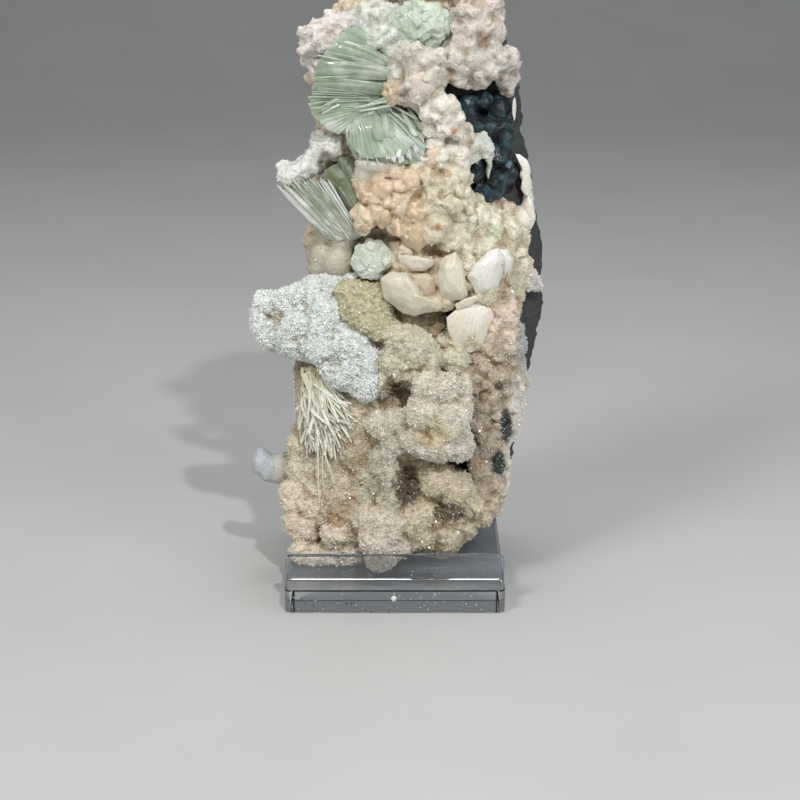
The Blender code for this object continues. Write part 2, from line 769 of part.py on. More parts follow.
def build():
    clear_scene()
    model = new_collection("apophyllite_cluster")
    cutters = new_collection("cutters")

    acrylic = new_material("clear acrylic", (0.92, 0.96, 1.0), 0.04, 1.0, 1.49)
    basalt = new_material("basalt", (0.035, 0.035, 0.038), 0.75)
    stilbite = new_material("stilbite", (0.82, 0.76, 0.68), 0.4)
    druse = new_material("cream druse", (0.72, 0.66, 0.55), 0.35)
    pale_druse = new_material("pale druse", (0.80, 0.82, 0.82), 0.35)
    green = new_material("apophyllite", (0.66, 0.80, 0.68), 0.1, 0.7, 1.54)
    ivory = new_material("needle ivory", (0.84, 0.82, 0.72), 0.45)

    plate(
        "stand_base", model, acrylic,
        (STAND_WIDTH, STAND_DEPTH, BASE_HEIGHT), (0, 0, BASE_HEIGHT / 2), 2,
    )
    lip_bottom = BASE_HEIGHT + GAP
    plate(
        "stand_lip", model, acrylic,
        (STAND_WIDTH, LIP_THICKNESS, LIP_TOP - lip_bottom),
        (0, LIP_SETBACK + LIP_THICKNESS / 2 - STAND_DEPTH / 2, (LIP_TOP + lip_bottom) / 2), 1,
    )
    plate(
        "stand_back", model, acrylic,
        (STAND_WIDTH, BACK_THICKNESS, BACK_TOP - lip_bottom),
        (0, STAND_DEPTH / 2 - BACK_THICKNESS / 2, (BACK_TOP + lip_bottom) / 2), 1,
    )

    matrix = rock(model, basalt)
    groups = [
        (name, green, [(add_core, core)] + [(add_blade, row) for row in rows])
        for name, core, rows in (
            ("apophyllite_top_rosette", ROSETTE_CORE, TOP_ROSETTE),
            ("apophyllite_great_fan", GREAT_FAN_CORE, GREAT_FAN),
            ("apophyllite_left_fan", LEFT_FAN_CORE, LEFT_FAN),
        )
    ]
    groups.append(("apophyllite_small_cluster", green, [(add_block, row) for row in SMALL_CLUSTER]))
    needles = [(add_needle, NEEDLE_ROOT + tip + (NEEDLE_WIDTH,)) for tip in NEEDLE_TIPS]
    threads = [(add_needle, row + (THREAD_WIDTH,)) for row in NEEDLE_THREADS]
    groups.append(("needle_spray", ivory, [(add_core, NEEDLE_KNOB)] + needles + threads))

    sawn = sawn_cutters(cutters)
    lumpy = [
        lumpy_body("drusy_wing", model, pale_druse, WING_LUMPS, WING_VOXEL, WING_FACES_KEPT, 1),
        lumpy_body("druse_mass", model, druse, DRUSE_LUMPS, CRUST_VOXEL, CRUST_FACES_KEPT, 2),
        lumpy_body("stilbite_crust", model, stilbite, CRUST_LUMPS, CRUST_VOXEL, CRUST_FACES_KEPT, 5),
    ]
    for body in [matrix] + lumpy:
        for cutter in sawn:
            cut_away(body, cutter)

    clearances = [fuller_copy(matrix, cutters)]
    for name, material, shapes in groups:
        body = joined(name, model, material, shapes, 0.0)
        fit(body, clearances)
        clearance = joined(name + "_clearance", cutters, material, shapes, CLEARANCE)
        hide(clearance)
        clearances.append(clearance)
    for body in lumpy:
        fit(body, clearances)
        clearances.append(fuller_copy(body, cutters))


build()
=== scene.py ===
"""Looks of the crystal cluster on its clear stand.

The crusts, crystals and rock are remade at fine detail in the places of their CAD solids.
Lists are in millimetres, as the photograph's eye sees the piece: across (to the right),
up (in the picture plane) and depth (behind the stand's front edge). seen() turns such a
place into the frame's own metres.
"""

import math
import random

import bmesh
import bpy
import numpy as np
from mathutils import Matrix, Vector, noise


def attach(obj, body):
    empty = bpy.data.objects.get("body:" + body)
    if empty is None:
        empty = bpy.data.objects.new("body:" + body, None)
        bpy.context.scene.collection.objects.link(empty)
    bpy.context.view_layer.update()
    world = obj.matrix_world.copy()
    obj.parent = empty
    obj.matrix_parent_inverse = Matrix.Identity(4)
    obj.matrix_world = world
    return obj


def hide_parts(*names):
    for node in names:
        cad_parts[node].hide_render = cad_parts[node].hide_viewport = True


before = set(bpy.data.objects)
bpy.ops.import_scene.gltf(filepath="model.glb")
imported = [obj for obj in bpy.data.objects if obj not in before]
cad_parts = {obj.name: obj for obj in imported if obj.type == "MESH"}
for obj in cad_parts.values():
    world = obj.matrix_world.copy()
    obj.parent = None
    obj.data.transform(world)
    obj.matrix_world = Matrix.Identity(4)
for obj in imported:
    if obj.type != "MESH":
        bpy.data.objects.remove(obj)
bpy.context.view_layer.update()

MM = 0.001

# Stand, as in the CAD
STAND_DEPTH = 101.0
BASE_HEIGHT = 11.0
LIP_SETBACK = 11.0
LIP_TOP = 23.5
BACK_THICKNESS = 4.0

# Eye that the layout is read from
EYE_TILT = math.radians(18.0)
EYE_DISTANCE = 885.0
EYE_ACROSS = 2.3
EYE_UP = 96.8
HALF_PICTURE = 181.8

# Sawn foot and flat back of the rock
ROCK_FOOT = 11.3
ROCK_BACK = 96.7
SAWN_START = 22.0
SAWN_SLOPE = math.radians(36.0)
ROCK_MIDDLE = 70.0
ROCK_RING = 24
ROCK_SQUARENESS = 0.62

# Floor, a hair below the stand
FLOOR = -0.0002

# Surface kinds: how far swells, cells, small cells and grain stand out, in millimetres
FINISHES = {
    "smooth": (0.4, 0.0, 0.0, 0.03),
    "knobby": (0.8, 0.9, 0.2, 0.06),
    "grainy": (1.1, 1.3, 0.7, 0.12),
    "sugar": (1.3, 1.2, 0.8, 0.2),
}
WARP_SIZE = 9.0
WARP = 1.2
SWELL_SIZE = 6.5
CELL_SIZE = 3.4
SMALL_CELL_SIZE = 1.7
GRAIN_SIZE = 0.9

# Painted shade: the share of colour kept at the bottom of a recess, darker and warmer.
RECESS_SHADE_TINT = (0.72, 0.60, 0.46)

CRUST_LUMPS = (
    ("bed over the rock", (204, 188, 168), "grainy", (
        (8, 262, 56, 38, 20, 9, 0),
        (-6, 226, 54, 26, 22, 8, 0),
        (12, 204, 52, 20, 26, 8, 0),
        (18, 166, 48, 34, 24, 9, 0),
        (46, 172, 51, 13, 18, 6, 0),
        (42, 140, 48, 16, 26, 9, 0),
        (46, 108, 48, 13, 26, 8, 0),
        (44, 72, 47, 8, 30, 8, 0),
    )),
    ("lobe at the upper left", (216, 208, 204), "grainy", (
        (-35, 260, 46, 8, 8, 9, 15),
        (-39, 253, 48, 4, 6, 7, 0),
        (-35, 249, 48, 5, 6, 7, 0),
        (-29, 266, 46, 7, 6, 8, 30),
        (-24, 267, 50, 7, 5, 9, 25),
    )),
    ("top", (203, 193, 182), "grainy", (
        (-9, 273, 54, 8, 6, 12, 35),
        (-2, 286, 58, 9, 7, 12, 0),
        (8, 289, 62, 11, 6, 13, 0),
        (22, 288, 60, 10, 7, 13, 0),
        (35, 281, 55, 10, 9, 12, -10),
        (42, 272, 56, 6, 10, 12, 0),
        (35, 270, 48, 8, 8, 9, 0),
        (41, 261, 50, 7, 7, 9, 0),
        (32, 260, 44, 7, 7, 7, 0),
    )),
    ("white granular band between rosette and fan", (201, 205, 196), "sugar", (
        (-8, 262, 44, 8, 8, 9, 0),
        (-3, 255, 43, 6, 7, 8, 0),
        (-13, 269, 47, 7, 6, 9, 0),
        (-15, 269.5, 50, 6, 5, 9, 0),
        (-6, 272, 48, 7, 7, 9, 0),
        (1, 247, 41, 4, 6, 6, 0),
        (4, 257, 42, 6, 4, 7, 0),
    )),
    ("jagged white strip in the lower dark window", (212, 216, 206), "grainy", (
        (42, 214, 47, 2.6, 5, 4, 0),
        (43, 207, 48, 2.2, 5, 4, 10),
        (42, 200, 49, 1.6, 4, 3, 0),
        (36, 208, 47, 3, 4, 5, 0),
    )),
    ("white lumps above the dark window", (198, 192, 183), "grainy", (
        (27, 252, 43, 7, 6, 8, 0),
        (36, 251, 43, 7, 6, 8, -20),
        (44, 250, 46, 8, 7, 9, 0),
        (50, 250, 52, 6, 7, 9, 0),
        (50, 242, 52, 5, 5, 8, 0),
        (30, 244, 44, 5, 5, 7, 20),
        (37, 243, 46, 5, 5, 6, -20),
    )),
    ("peach cone below the top rosette", (204, 197, 184), "grainy", (
        (12, 252, 37, 10, 6, 9, 0),
        (12, 246, 35, 8.5, 7, 8, 0),
        (11, 240, 34, 7, 7, 7, 0),
        (10, 234, 34, 5.5, 5, 6, 0),
        (19, 244, 40, 6, 7, 7, 25),
    )),
    ("tan hollow beside the great fan", (200, 182, 158), "grainy", (
        (-1, 238, 38, 3.5, 5, 5, 0),
        (3, 234, 37, 3.5, 4, 5, 0),
    )),
    ("white sheaves to the right of the fans", (224, 218, 207), "grainy", (
        (20, 229, 38, 10, 7, 9, 0),
        (24, 222, 38, 8, 6, 9, 0),
        (14, 232, 40, 5, 5, 6, 0),
        (27, 224, 46, 4, 8, 7, 0),
        (19, 211, 43, 8, 9, 8, 0),
        (13, 206, 42, 5, 6, 7, -30),
        (24, 214, 44, 6, 4, 7, 0),
        (28, 207, 42, 6, 6, 7, 0),
        (29, 213, 47, 5, 8, 6, 0),
        (36, 217, 50, 3.5, 8, 5, 25),
    )),
    ("white rim to the right of the lower dark window", (228, 226, 216), "smooth", (
        (59, 202, 58, 2.0, 5, 4, 0),
        (60, 194, 58, 2.0, 6, 4, 0),
        (60.5, 187, 58, 2.6, 7, 5, 0),
        (58, 179, 54, 4.5, 6, 6, 0),
    )),
    ("white rind over the rock's edge", (216, 214, 206), "knobby", (
        (60, 151, 55, 5, 4, 6, 20),
        (64, 149, 59, 3.5, 3.5, 6, 0),
    )),
    ("flat white lump", (202, 198, 186), "smooth", (
        (-10, 203, 38, 8.5, 4.5, 8, -12),
        (-14, 199, 38, 5, 4, 6, 0),
    )),
    ("peach knobs", (214, 195, 168), "grainy", (
        (-15, 196, 40, 6, 7, 7, 0),
        (-5, 196, 37, 6, 5, 7, 0),
        (1, 199, 38, 6, 7, 7, 0),
        (7, 196, 38, 6, 7, 7, 0),
        (-9, 190, 38, 6, 8, 7, 0),
        (-7, 182, 36, 4.5, 6, 6, 0),
        (-2, 189, 34, 4.5, 4.5, 5, 0),
        (-1, 178, 35, 4.5, 6, 6, 0),
        (4, 185, 34, 4.5, 6, 6, 0),
        (3, 175, 34, 4, 5, 6, 0),
        (9, 180, 33, 5, 7, 7, 0),
        (8, 171, 34, 5, 6, 6, 0),
        (-15, 179, 36, 4.5, 8, 5, 0),
    )),
    ("cream lumps right of the knobs", (208, 199, 176), "grainy", (
        (16, 193, 37, 8, 7, 8, 0),
        (24, 194, 39, 8, 6, 8, 0),
        (28, 200, 42, 6, 6, 7, 0),
        (20, 185, 36, 9, 7, 8, 0),
        (19, 176, 35, 7, 8, 8, 0),
        (30, 188, 41, 7, 8, 7, 0),
    )),
    ("granular rind at the right", (220, 214, 194), "grainy", (
        (34, 180, 42, 8, 9, 8, 0),
        (42, 176, 44, 9, 8, 8, 0),
        (50, 172, 47, 8, 9, 8, 0),
        (54, 164, 49, 6, 11, 8, 0),
        (28, 170, 40, 8, 8, 8, 0),
        (38, 167, 42, 9, 7, 8, 0),
        (48, 163, 46, 8, 7, 8, 0),
        (32, 161, 40, 6, 6, 7, 0),
        (55, 154, 50, 6, 8, 8, -20),
        (51, 146, 48, 4, 8, 8, 0),
        (50, 134, 47, 4, 9, 8, 0),
    )),
    ("bed under the teeth", (204, 192, 168), "grainy", (
        (9, 160, 38, 9, 5, 6, 0),
        (5, 165, 38, 5, 3, 5, 0),
        (26, 152, 39, 8, 11, 7, 0),
        (40, 153, 41, 10, 11, 8, -20),
        (48, 158, 42, 6, 8, 8, 0),
        (41, 146, 40, 8, 6, 8, 0),
        (6, 150, 38, 10, 8, 8, 0),
        (16, 142, 36, 9, 5, 7, 0),
        (34, 130, 40, 11, 10, 8, 0),
        (46, 130, 42, 8, 9, 8, 0),
        (27, 124, 39, 7, 6, 7, 0),
    )),
    ("pink wing of the shell", (218, 202, 186), "grainy", (
        (49, 134, 37, 6, 7, 6, 0),
        (52, 126, 39, 5, 6, 6, 0),
        (46, 126, 37, 5, 5, 6, 0),
    )),
    ("pink granular side at the lower right", (182, 168, 149), "grainy", (
        (47, 119, 40, 8, 7, 8, 0),
        (40, 115, 40, 7, 8, 8, 0),
        (36, 108, 40, 6, 7, 8, 0),
        (46, 108, 41, 9, 8, 9, 0),
        (55, 104, 48, 5, 10, 9, 0),
        (54, 92, 48, 4.5, 10, 9, 0),
        (43, 97, 40, 8, 8, 9, 0),
        (39, 87, 41, 7, 8, 9, 0),
        (46, 86, 43, 5, 8, 8, 0),
        (42, 76, 41, 7, 8, 9, 0),
        (37, 72, 42, 6, 7, 9, 0),
        (40, 66, 41, 7, 7, 9, 0),
        (41, 58, 41, 7, 6, 9, 0),
        (42, 50, 42, 5, 6, 9, 0),
    )),
    ("silky rind at the right edge", (226, 224, 216), "smooth", (
        (56, 122, 54, 4, 8, 9, 0),
        (56, 110, 54, 4, 9, 10, 0),
        (54.5, 97, 54, 4.5, 9, 10, 0),
        (53.5, 86, 54, 4, 8, 10, 0),
        (50, 104, 44, 5, 6, 6, 0),
        (51, 92, 45, 5, 8, 6, 0),
        (49, 70, 52, 3, 8, 9, 0),
        (47, 60, 50, 3, 7, 9, 0),
    )),
    ("blocks beside the left fan", (218, 217, 212), "grainy", (
        (-30, 213, 52, 7, 6, 9, 0),
        (-38, 205.5, 48, 6, 4, 8, 20),
        (-44, 201, 42, 7, 4.5, 8, 10),
        (-48, 199, 42, 4, 4, 6, 0),
    )),
    ("cream lumps above the drusy wing", (192, 186, 168), "smooth", (
        (-31, 171, 52, 5, 7, 9, 0),
        (-32, 163, 50, 7, 7, 9, 0),
        (-34, 157, 50, 5, 5, 8, 0),
        (-26, 160, 46, 8, 8, 9, 0),
        (-24, 170, 48, 7, 7, 9, 0),
    )),
    ("left side, turning to the back", (206, 192, 170), "grainy", (
        (-28, 226, 64, 7, 18, 12, 0),
        (-30, 196, 66, 7, 18, 12, 0),
        (-30, 250, 62, 10, 14, 12, 0),
        (-16, 270, 66, 12, 10, 12, 0),
        (-32, 168, 66, 8, 16, 12, 0),
    )),
)

DRUSE_LUMPS = (
    ("bed over the rock", (186, 170, 144), "sugar", (
        (0, 124, 44, 26, 24, 10, 0),
        (-4, 90, 44, 36, 30, 12, 0),
        (-4, 52, 42, 42, 24, 14, 0),
        (-22, 30, 44, 22, 10, 16, 0),
        (14, 38, 44, 22, 12, 14, -25),
    )),
    ("yellow-green shoulder", (196, 189, 158), "sugar", (
        (-14, 140, 37, 12, 12, 11, 0),
        (-8, 132, 36, 8, 9, 10, 0),
        (-20, 147, 42, 10, 6, 10, 0),
    )),
    ("upper mushroom lump", (206, 200, 179), "sugar", (
        (3, 125, 31, 8, 7, 8, 0),
        (9, 121, 29, 9, 9, 9, 0),
        (15, 116, 31, 7, 7, 8, 0),
        (0, 114, 31, 8, 8, 9, 0),
        (10, 108, 33, 9, 7, 9, 0),
        (-5, 105, 34, 5, 7, 8, 0),
        (28, 116, 38, 8, 9, 9, 0),
    )),
    ("large lump", (210, 203, 186), "sugar", (
        (14, 104, 24, 7, 7, 9, 20),
        (22, 103, 24, 8, 7, 9, 0),
        (32, 102, 28, 3.5, 7, 6, 0),
        (30, 93, 27, 6, 8, 9, 0),
        (14, 92, 23, 10, 9, 10, 0),
        (24, 88, 24, 11, 11, 11, 0),
        (10, 80, 25, 8, 9, 10, 0),
        (18, 76, 24, 12, 8, 11, 0),
        (29, 77, 27, 7, 9, 9, 0),
        (-7, 85, 30, 6, 8, 8, 35),
        (0, 88, 28, 6, 6, 8, 0),
        (-1, 78, 31, 6, 8, 8, 0),
    )),
    ("ridge between the caves", (190, 186, 166), "sugar", (
        (-6, 70, 33, 7, 8, 9, 0),
        (-2, 62, 31, 6, 8, 9, 0),
        (-2, 54, 30, 6, 8, 9, 0),
        (-12, 62, 36, 7, 9, 9, 0),
        (-12, 52, 34, 7, 7, 8, 0),
    )),
    ("rounded cone that dips behind the lip", (212, 201, 184), "sugar", (
        (-13, 42, 28, 6, 8, 9, 30),
        (-5, 40, 25, 9, 9, 10, 0),
        (-8, 32, 22, 9, 8, 8, 0),
        (-6, 25, 21, 8, 6.5, 6.5, 0),
        (2, 30, 26, 6, 6, 8, 0),
    )),
    ("lumps at the lower right", (204, 192, 168), "sugar", (
        (8, 42, 28, 6, 8, 8, 0),
        (14, 45, 30, 5, 7, 8, 0),
        (12, 34, 30, 7, 6, 8, 0),
        (20, 60, 32, 9, 8, 10, 0),
        (28, 57, 33, 9, 9, 10, 0),
        (34, 50, 36, 8, 8, 10, 0),
        (40, 45, 39, 6, 6, 9, 0),
        (22, 36, 35, 9, 5, 8, -30),
        (30, 40, 38, 9, 4.5, 8, -30),
        (26, 48, 37, 8, 8, 9, 0),
    )),
    ("lower left lobes", (222, 209, 190), "sugar", (
        (-27, 36, 29, 7, 7, 8, 0),
        (-46, 53, 42, 7, 9, 10, 0),
        (-47, 43, 41, 5, 9, 9, 0),
        (-41, 40, 39, 8, 8, 9, 0),
        (-37, 49, 40, 7, 8, 9, 0),
        (-43, 28, 37, 6, 6, 9, 0),
        (-36, 27, 35, 6, 6, 8, 0),
        (-29, 26, 33, 6, 5, 7, 0),
        (-20, 28, 32, 7, 6, 8, 0),
        (-18, 36, 34, 6, 6, 8, 0),
    )),
    ("left flank behind the needles", (214, 204, 182), "sugar", (
        (-42, 76, 48, 8, 6, 10, 0),
        (-43, 66, 46, 7, 8, 10, 0),
        (-32, 68, 44, 9, 9, 10, 0),
        (-33, 57, 42, 9, 8, 10, 0),
        (-24, 62, 42, 9, 9, 10, 0),
        (-23, 74, 44, 9, 9, 10, 0),
        (-22, 48, 38, 8, 8, 9, 0),
        (-18, 91, 40, 7, 9, 8, 0),
        (-37, 94, 54, 9, 14, 10, 0),
        (-28, 90, 52, 10, 14, 10, 0),
    )),
    ("neck of the finger at the left", (188, 184, 176), "smooth", (
        (-44, 67, 54, 6, 6.5, 8, 0),
        (-47, 65.5, 52, 8, 8, 8, 0),
        (-52, 65.5, 52, 7, 7.5, 7, 0),
    )),
    ("bluish tip of the finger", (182, 188, 194), "smooth", (
        (-57, 66, 53, 6, 7, 6.5, 0),
        (-60.5, 68.5, 53, 5.5, 6.5, 6, 10),
        (-61, 72, 54, 3.4, 3.6, 5, 0),
    )),
    ("left side, turning to the back", (196, 184, 160), "sugar", (
        (-38, 45, 62, 10, 16, 14, 0),
        (-40, 75, 64, 9, 16, 13, 0),
        (-38, 105, 62, 9, 18, 12, 0),
        (-36, 135, 64, 8, 16, 12, 0),
    )),
)

WING_LUMPS = (
    ("wing", (222, 226, 222), "sugar", (
        (-61, 132, 50, 5, 7, 10, 0),
        (-58, 141, 50, 6, 6, 10, 0),
        (-56, 127, 49, 8, 8, 11, 0),
        (-49, 140, 49, 8, 8, 11, 0),
        (-46, 124, 46, 10, 8, 12, -30),
        (-43, 143, 48, 6, 7, 10, 0),
        (-43, 132, 45, 11, 10, 13, 0),
        (-36, 145, 46, 8, 9, 11, 0),
        (-28, 149, 46, 8, 7, 10, 0),
        (-21, 152, 46, 6, 4, 8, 0),
        (-31, 134, 42, 11, 13, 13, 0),
        (-33, 121, 41, 11, 9, 13, -20),
        (-22, 124, 38, 11, 11, 12, 0),
        (-23, 111, 38, 11, 9, 12, -30),
        (-13, 115, 36, 8, 9, 11, 0),
        (-13, 104, 36, 8, 8, 11, 0),
        (-30, 128, 54, 14, 12, 8, 0),
    )),
)

TOP_ROSETTE = (
    (12, 260, 48, -2, 266, 37, 11, 8),
    (12, 261, 48, -2, 273, 37, 11, 8),
    (12, 262, 48, 3, 280, 38, 11, 8),
    (12, 262, 48, 11, 284, 38, 12, 8),
    (12, 262, 48, 20, 282, 38, 11, 8),
    (12, 262, 48, 27, 277, 39, 11, 8),
    (12, 261, 48, 30, 270, 39, 11, 8),
    (12, 260, 48, 29, 262, 40, 10, 8),
    (12, 262, 48, 6, 270, 29, 14, 10),
    (12, 262, 48, 15, 274, 28, 14, 10),
    (12, 262, 48, 22, 269, 29, 14, 10),
    (12, 260, 48, 4, 261, 33, 12, 8),
    (12, 260, 48, 18, 260, 33, 13, 8),
)

GREAT_FAN = (
    # Upper shells, curving down to the left
    (2, 248, 48, -30, 258, 37, 12, 12),
    (2, 250, 48, -22, 264, 38, 12, 12),
    (2, 250, 48, -11, 265, 39, 13, 12),
    (3, 247, 46, -34, 251, 34, 11, 12),
    (3, 245, 45, -35, 246, 32, 9, 12),
    (2, 243, 44, -28, 243, 29, 8, 12),
    (3, 252, 46, -4, 258, 36, 12, 10),
    # Middle plates, striated across
    (-4, 240, 47, -39, 239, 36, 9, 14),
    (-5, 236, 46, -38, 231, 34, 10, 14),
    (-6, 233, 46, -35, 223, 36, 10, 13),
    (0, 238, 46, -24, 232, 30, 11, 12),
    (-2, 234, 46, -22, 224, 31, 11, 12),
    (-10, 226, 46, 2, 234, 33, 7, 10),
    # Lower fan, opening down and to the right
    (-16, 232, 48, -18, 216, 34, 14, 12),
    (-14, 232, 48, -13, 205, 33, 13, 12),
    (-10, 232, 48, -3, 206, 30, 14, 12),
    (-8, 232, 48, 5, 210, 31, 13, 12),
    (-8, 232, 48, 10, 214, 34, 11, 11),
    (-8, 230, 46, -7, 214, 27, 13, 10),
)

LEFT_FAN = (
    (-27, 168, 42, -52, 194, 38, 8, 14),
    (-22, 170, 41, -50, 198, 37, 9, 14),
    (-18, 173, 41, -46, 200, 36, 9, 13),
    (-16, 177, 42, -41, 201, 38, 9, 12),
    (-16, 182, 44, -36, 202, 42, 10, 12),
    (-14, 186, 48, -28, 206, 46, 12, 12),
    (-13, 188, 48, -18, 208, 46, 12, 12),
    (-12, 192, 48, -12, 205, 47, 9, 10),
)

SMALL_CLUSTER = (
    (-10, 162, 37, 17, 10),
    (-17, 160, 37, 12, 35),
    (-16, 167, 38, 10, 20),
    (-5, 167, 36, 12, 60),
    (-3, 159, 35, 12, 15),
    (-10, 155, 34, 13, 45),
    (-10, 164, 31, 11, 70),
    (-5, 162, 32, 10, 30),
    (-18, 154, 37, 9, 5),
)

NEEDLE_TIPS = (
    (-43, 92, 42),
    (-42, 84, 40),
    (-41, 77, 36),
    (-38, 73, 34),
    (-34, 76, 31),
    (-33, 72, 32),
    (-29, 72, 31),
    (-27, 79, 29),
    (-24, 72, 32),
    (-23, 77, 31),
    (-19, 80, 31),
    (-17, 88, 31),
    (-20, 95, 33),
    (-31, 86, 28),
    (-25, 88, 28),
    (-37, 84, 32),
)

NEEDLE_THREADS = (
    (-33, 82, 37, -32.5, 49, 31),
    (-31, 82, 37, -30, 60, 31.5),
)

ROCK_SECTIONS = (
    (24, -40, 48, 46, 100),
    (45, -43, 49, 46, 99),
    (70, -41, 52, 50, 98),
    (95, -40, 57.5, 52, 97),
    (118, -40, 62, 52, 96),
    (140, -38, 66, 52, 95),
    (160, -34, 67, 52, 94),
    (180, -30, 64, 53, 93),
    (200, -28, 60, 52, 92),
    (220, -26, 57, 52, 91),
    (242, -32, 56.5, 54, 90),
    (262, -30, 50, 58, 88),
    (280, -10, 42, 62, 84),
)

# Glassy lumps in the rock's openings
WINDOW_LUMPS = (
    ("upper dark window", (40, 46, 50), "knobby", (
        (33, 229, 50, 5, 6, 6, 0),
        (40, 233, 51, 5, 5, 5, 0),
        (47, 230, 51, 5, 6, 5, 0),
        (52, 224, 52, 4, 7, 5, 0),
        (45, 221, 50, 6, 5, 6, 0),
        (37, 221, 50, 5, 5, 6, 0),
        (41, 215, 51, 5, 4, 5, 0),
        (50, 215, 52, 4, 5, 5, 0),
    )),
    ("lower dark window", (40, 46, 50), "knobby", (
        (37, 202, 50, 4, 7, 6, 0),
        (47, 208, 52, 4, 6, 5, 0),
        (52, 200, 53, 4, 6, 5, 0),
        (46, 195, 52, 5, 6, 5, 0),
        (39, 190, 51, 5, 5, 5, 0),
    )),
)

# Patches of another tint on the front: across, up, half width, half height, tint, share. The teal patches on the rock
# and in the dark windows are painted highlights on glassy rims, and the dark patches in the druse's caves are painted
# shade.
ROCK_TEAL_HIGHLIGHT = (
    (54, 242, 3, 4, (63, 90, 96), 0.9),
)

WINDOW_TEAL_HIGHLIGHTS = (
    (54, 242, 3, 4, (63, 110, 120), 0.9),
    (31, 228, 2, 8, (60, 100, 112), 0.8),
    (45, 238, 8, 1.5, (60, 100, 112), 0.8),
    (52, 210, 4, 5, (50, 84, 88), 0.8),
    (39, 190, 3, 4, (48, 84, 90), 0.8),
    (49, 188, 3, 3, (50, 84, 90), 0.8),
    (52, 188, 3, 3, (50, 84, 90), 0.8),
)

CRUST_PATCHES = (
    (40, 261, 3.5, 3.5, (150, 130, 112), 0.8),
    (27, 219, 1.4, 1.2, (206, 150, 106), 0.9),
    (19.5, 175.5, 1.6, 1.2, (200, 120, 70), 0.8),
    (47, 103, 2, 2, (90, 60, 40), 0.9),
    (56, 92, 4, 15, (224, 220, 212), 0.8),
    (58, 121, 3, 11, (150, 156, 160), 0.6),
    (50.5, 85, 2.4, 8, (38, 50, 44), 0.95),
    (47, 68, 3.0, 6, (42, 50, 42), 0.95),
    (-3, 197.5, 2.5, 0.9, (96, 62, 38), 0.9),
    (14, 209, 2.0, 2.2, (120, 88, 62), 0.8),
    (37.5, 178, 0.6, 6, (116, 108, 86), 0.7),
    (45, 174, 4, 3, (178, 186, 158), 0.5),
    (33, 176, 1, 4, (150, 156, 128), 0.5),
)

DRUSE_TINTS_AND_CAVE_SHADE = (
    (17, 81, 8, 6, (200, 182, 140), 0.6),
    # Painted shade: the next five patches darken the caves. The others are the druse's own tints.
    (-2, 103, 4, 4, (120, 98, 64), 0.7),
    (5.5, 58, 6.5, 9, (86, 68, 42), 0.85),
    (24.5, 45.5, 7, 4.5, (104, 86, 58), 0.8),
    (4.5, 103.5, 3.5, 2.5, (96, 76, 48), 0.8),
    (-27, 41.5, 5, 3, (150, 122, 84), 0.7),
    (-28, 80, 12, 12, (200, 190, 168), 0.7),
    (-24, 60, 12, 9, (200, 188, 164), 0.6),
)

WING_PATCHES = (
    (-10, 130, 1.6, 1.6, (60, 50, 40), 0.8),
)

THREAD_PATHS = (
    ((-35.2, 76, 31), (-34.8, 62, 31), (-34.4, 47, 31)),
    ((-32.6, 76, 31), (-33, 62, 30), (-31.8, 55, 30), (-33.4, 50, 30), (-33.2, 46, 31)),
    ((-31.8, 72, 31), (-29.5, 65, 30), (-27.6, 59, 30)),
)

# Plates of ribs: root line, rim line, bulge, thickness, ribs, rib depth
FAN_SHELLS = (
    # Dome of smooth stacked plates
    (
        ((-4, 249, 45), (1, 255, 45)),
        ((-34, 254, 39), (-29, 261, 38), (-21, 266, 38), (-12, 267, 38), (-4, 262, 38)),
        5.0, 7.0, 7, 0.5,
    ),
    (
        ((-2, 244, 43), (1, 250, 43)),
        ((-36, 246, 38), (-35, 253, 36), (-30, 258, 34), (-22, 260, 33), (-13, 258, 34)),
        7.0, 6.0, 5, 0.9,
    ),
    (
        ((0, 241, 42), (2, 247, 42)),
        ((-37, 240, 37), (-36.5, 245, 35), (-33, 250, 32), (-25, 251, 30)),
        7.6, 5.0, 4, 0.9,
    ),
    (
        ((-2, 235, 42), (1, 240, 42)),
        ((-38.5, 233, 37), (-39, 239, 35), (-36, 243, 32), (-28, 243, 29)),
        7.4, 5.0, 4, 0.8,
    ),
    # Striped plates at the left
    (
        ((-8, 230, 42), (-4, 235, 42)),
        ((-35, 221, 37), (-38.5, 228, 36), (-39.5, 235, 35), (-36, 239, 33)),
        4.0, 5.0, 12, 0.8,
    ),
    (
        ((-12, 228, 40), (-7, 231, 40)),
        ((-26, 217, 35), (-32, 220, 34), (-35, 226, 33), (-32, 231, 31)),
        3.0, 4.0, 9, 0.7,
    ),
    # Lower fan, opening down and to the right
    (
        ((-21, 226, 44), (-14, 231, 43), (-5, 232, 44)),
        ((-22, 213, 37), (-17, 205, 35), (-9, 202.5, 33), (2, 202.5, 33), (11, 205, 34), (14, 213, 35), (10, 225, 38)),
        5.0, 7.0, 17, 0.9,
    ),
    (
        ((-20, 228, 41), (-12, 231, 40)),
        ((-21, 214, 33), (-15, 207, 31), (-6, 206, 29), (4, 208, 30), (9, 213, 32)),
        3.5, 4.0, 12, 0.8,
    ),
)

# Long thin blades over the fan: start, end, width, thickness
FAN_BLADES = (
    (-19, 229.5, 32, 1, 233.5, 35, 1.6, 1.2),
    (-16, 228, 31, 3, 231.5, 35, 1.4, 1.0),
    (-12, 231.5, 33, 2, 236, 36, 1.2, 1.0),
    (5, 231, 40, 13, 219, 34, 2.6, 1.6),
    (8, 232, 40, 15, 224, 36, 2.4, 1.6),
    (2, 230, 38, 10, 216, 32, 2.8, 1.8),
    (-34, 226, 33, -24, 232, 32, 1.4, 1.0),
    (-35, 229, 33, -25, 234, 32, 1.4, 1.0),
)

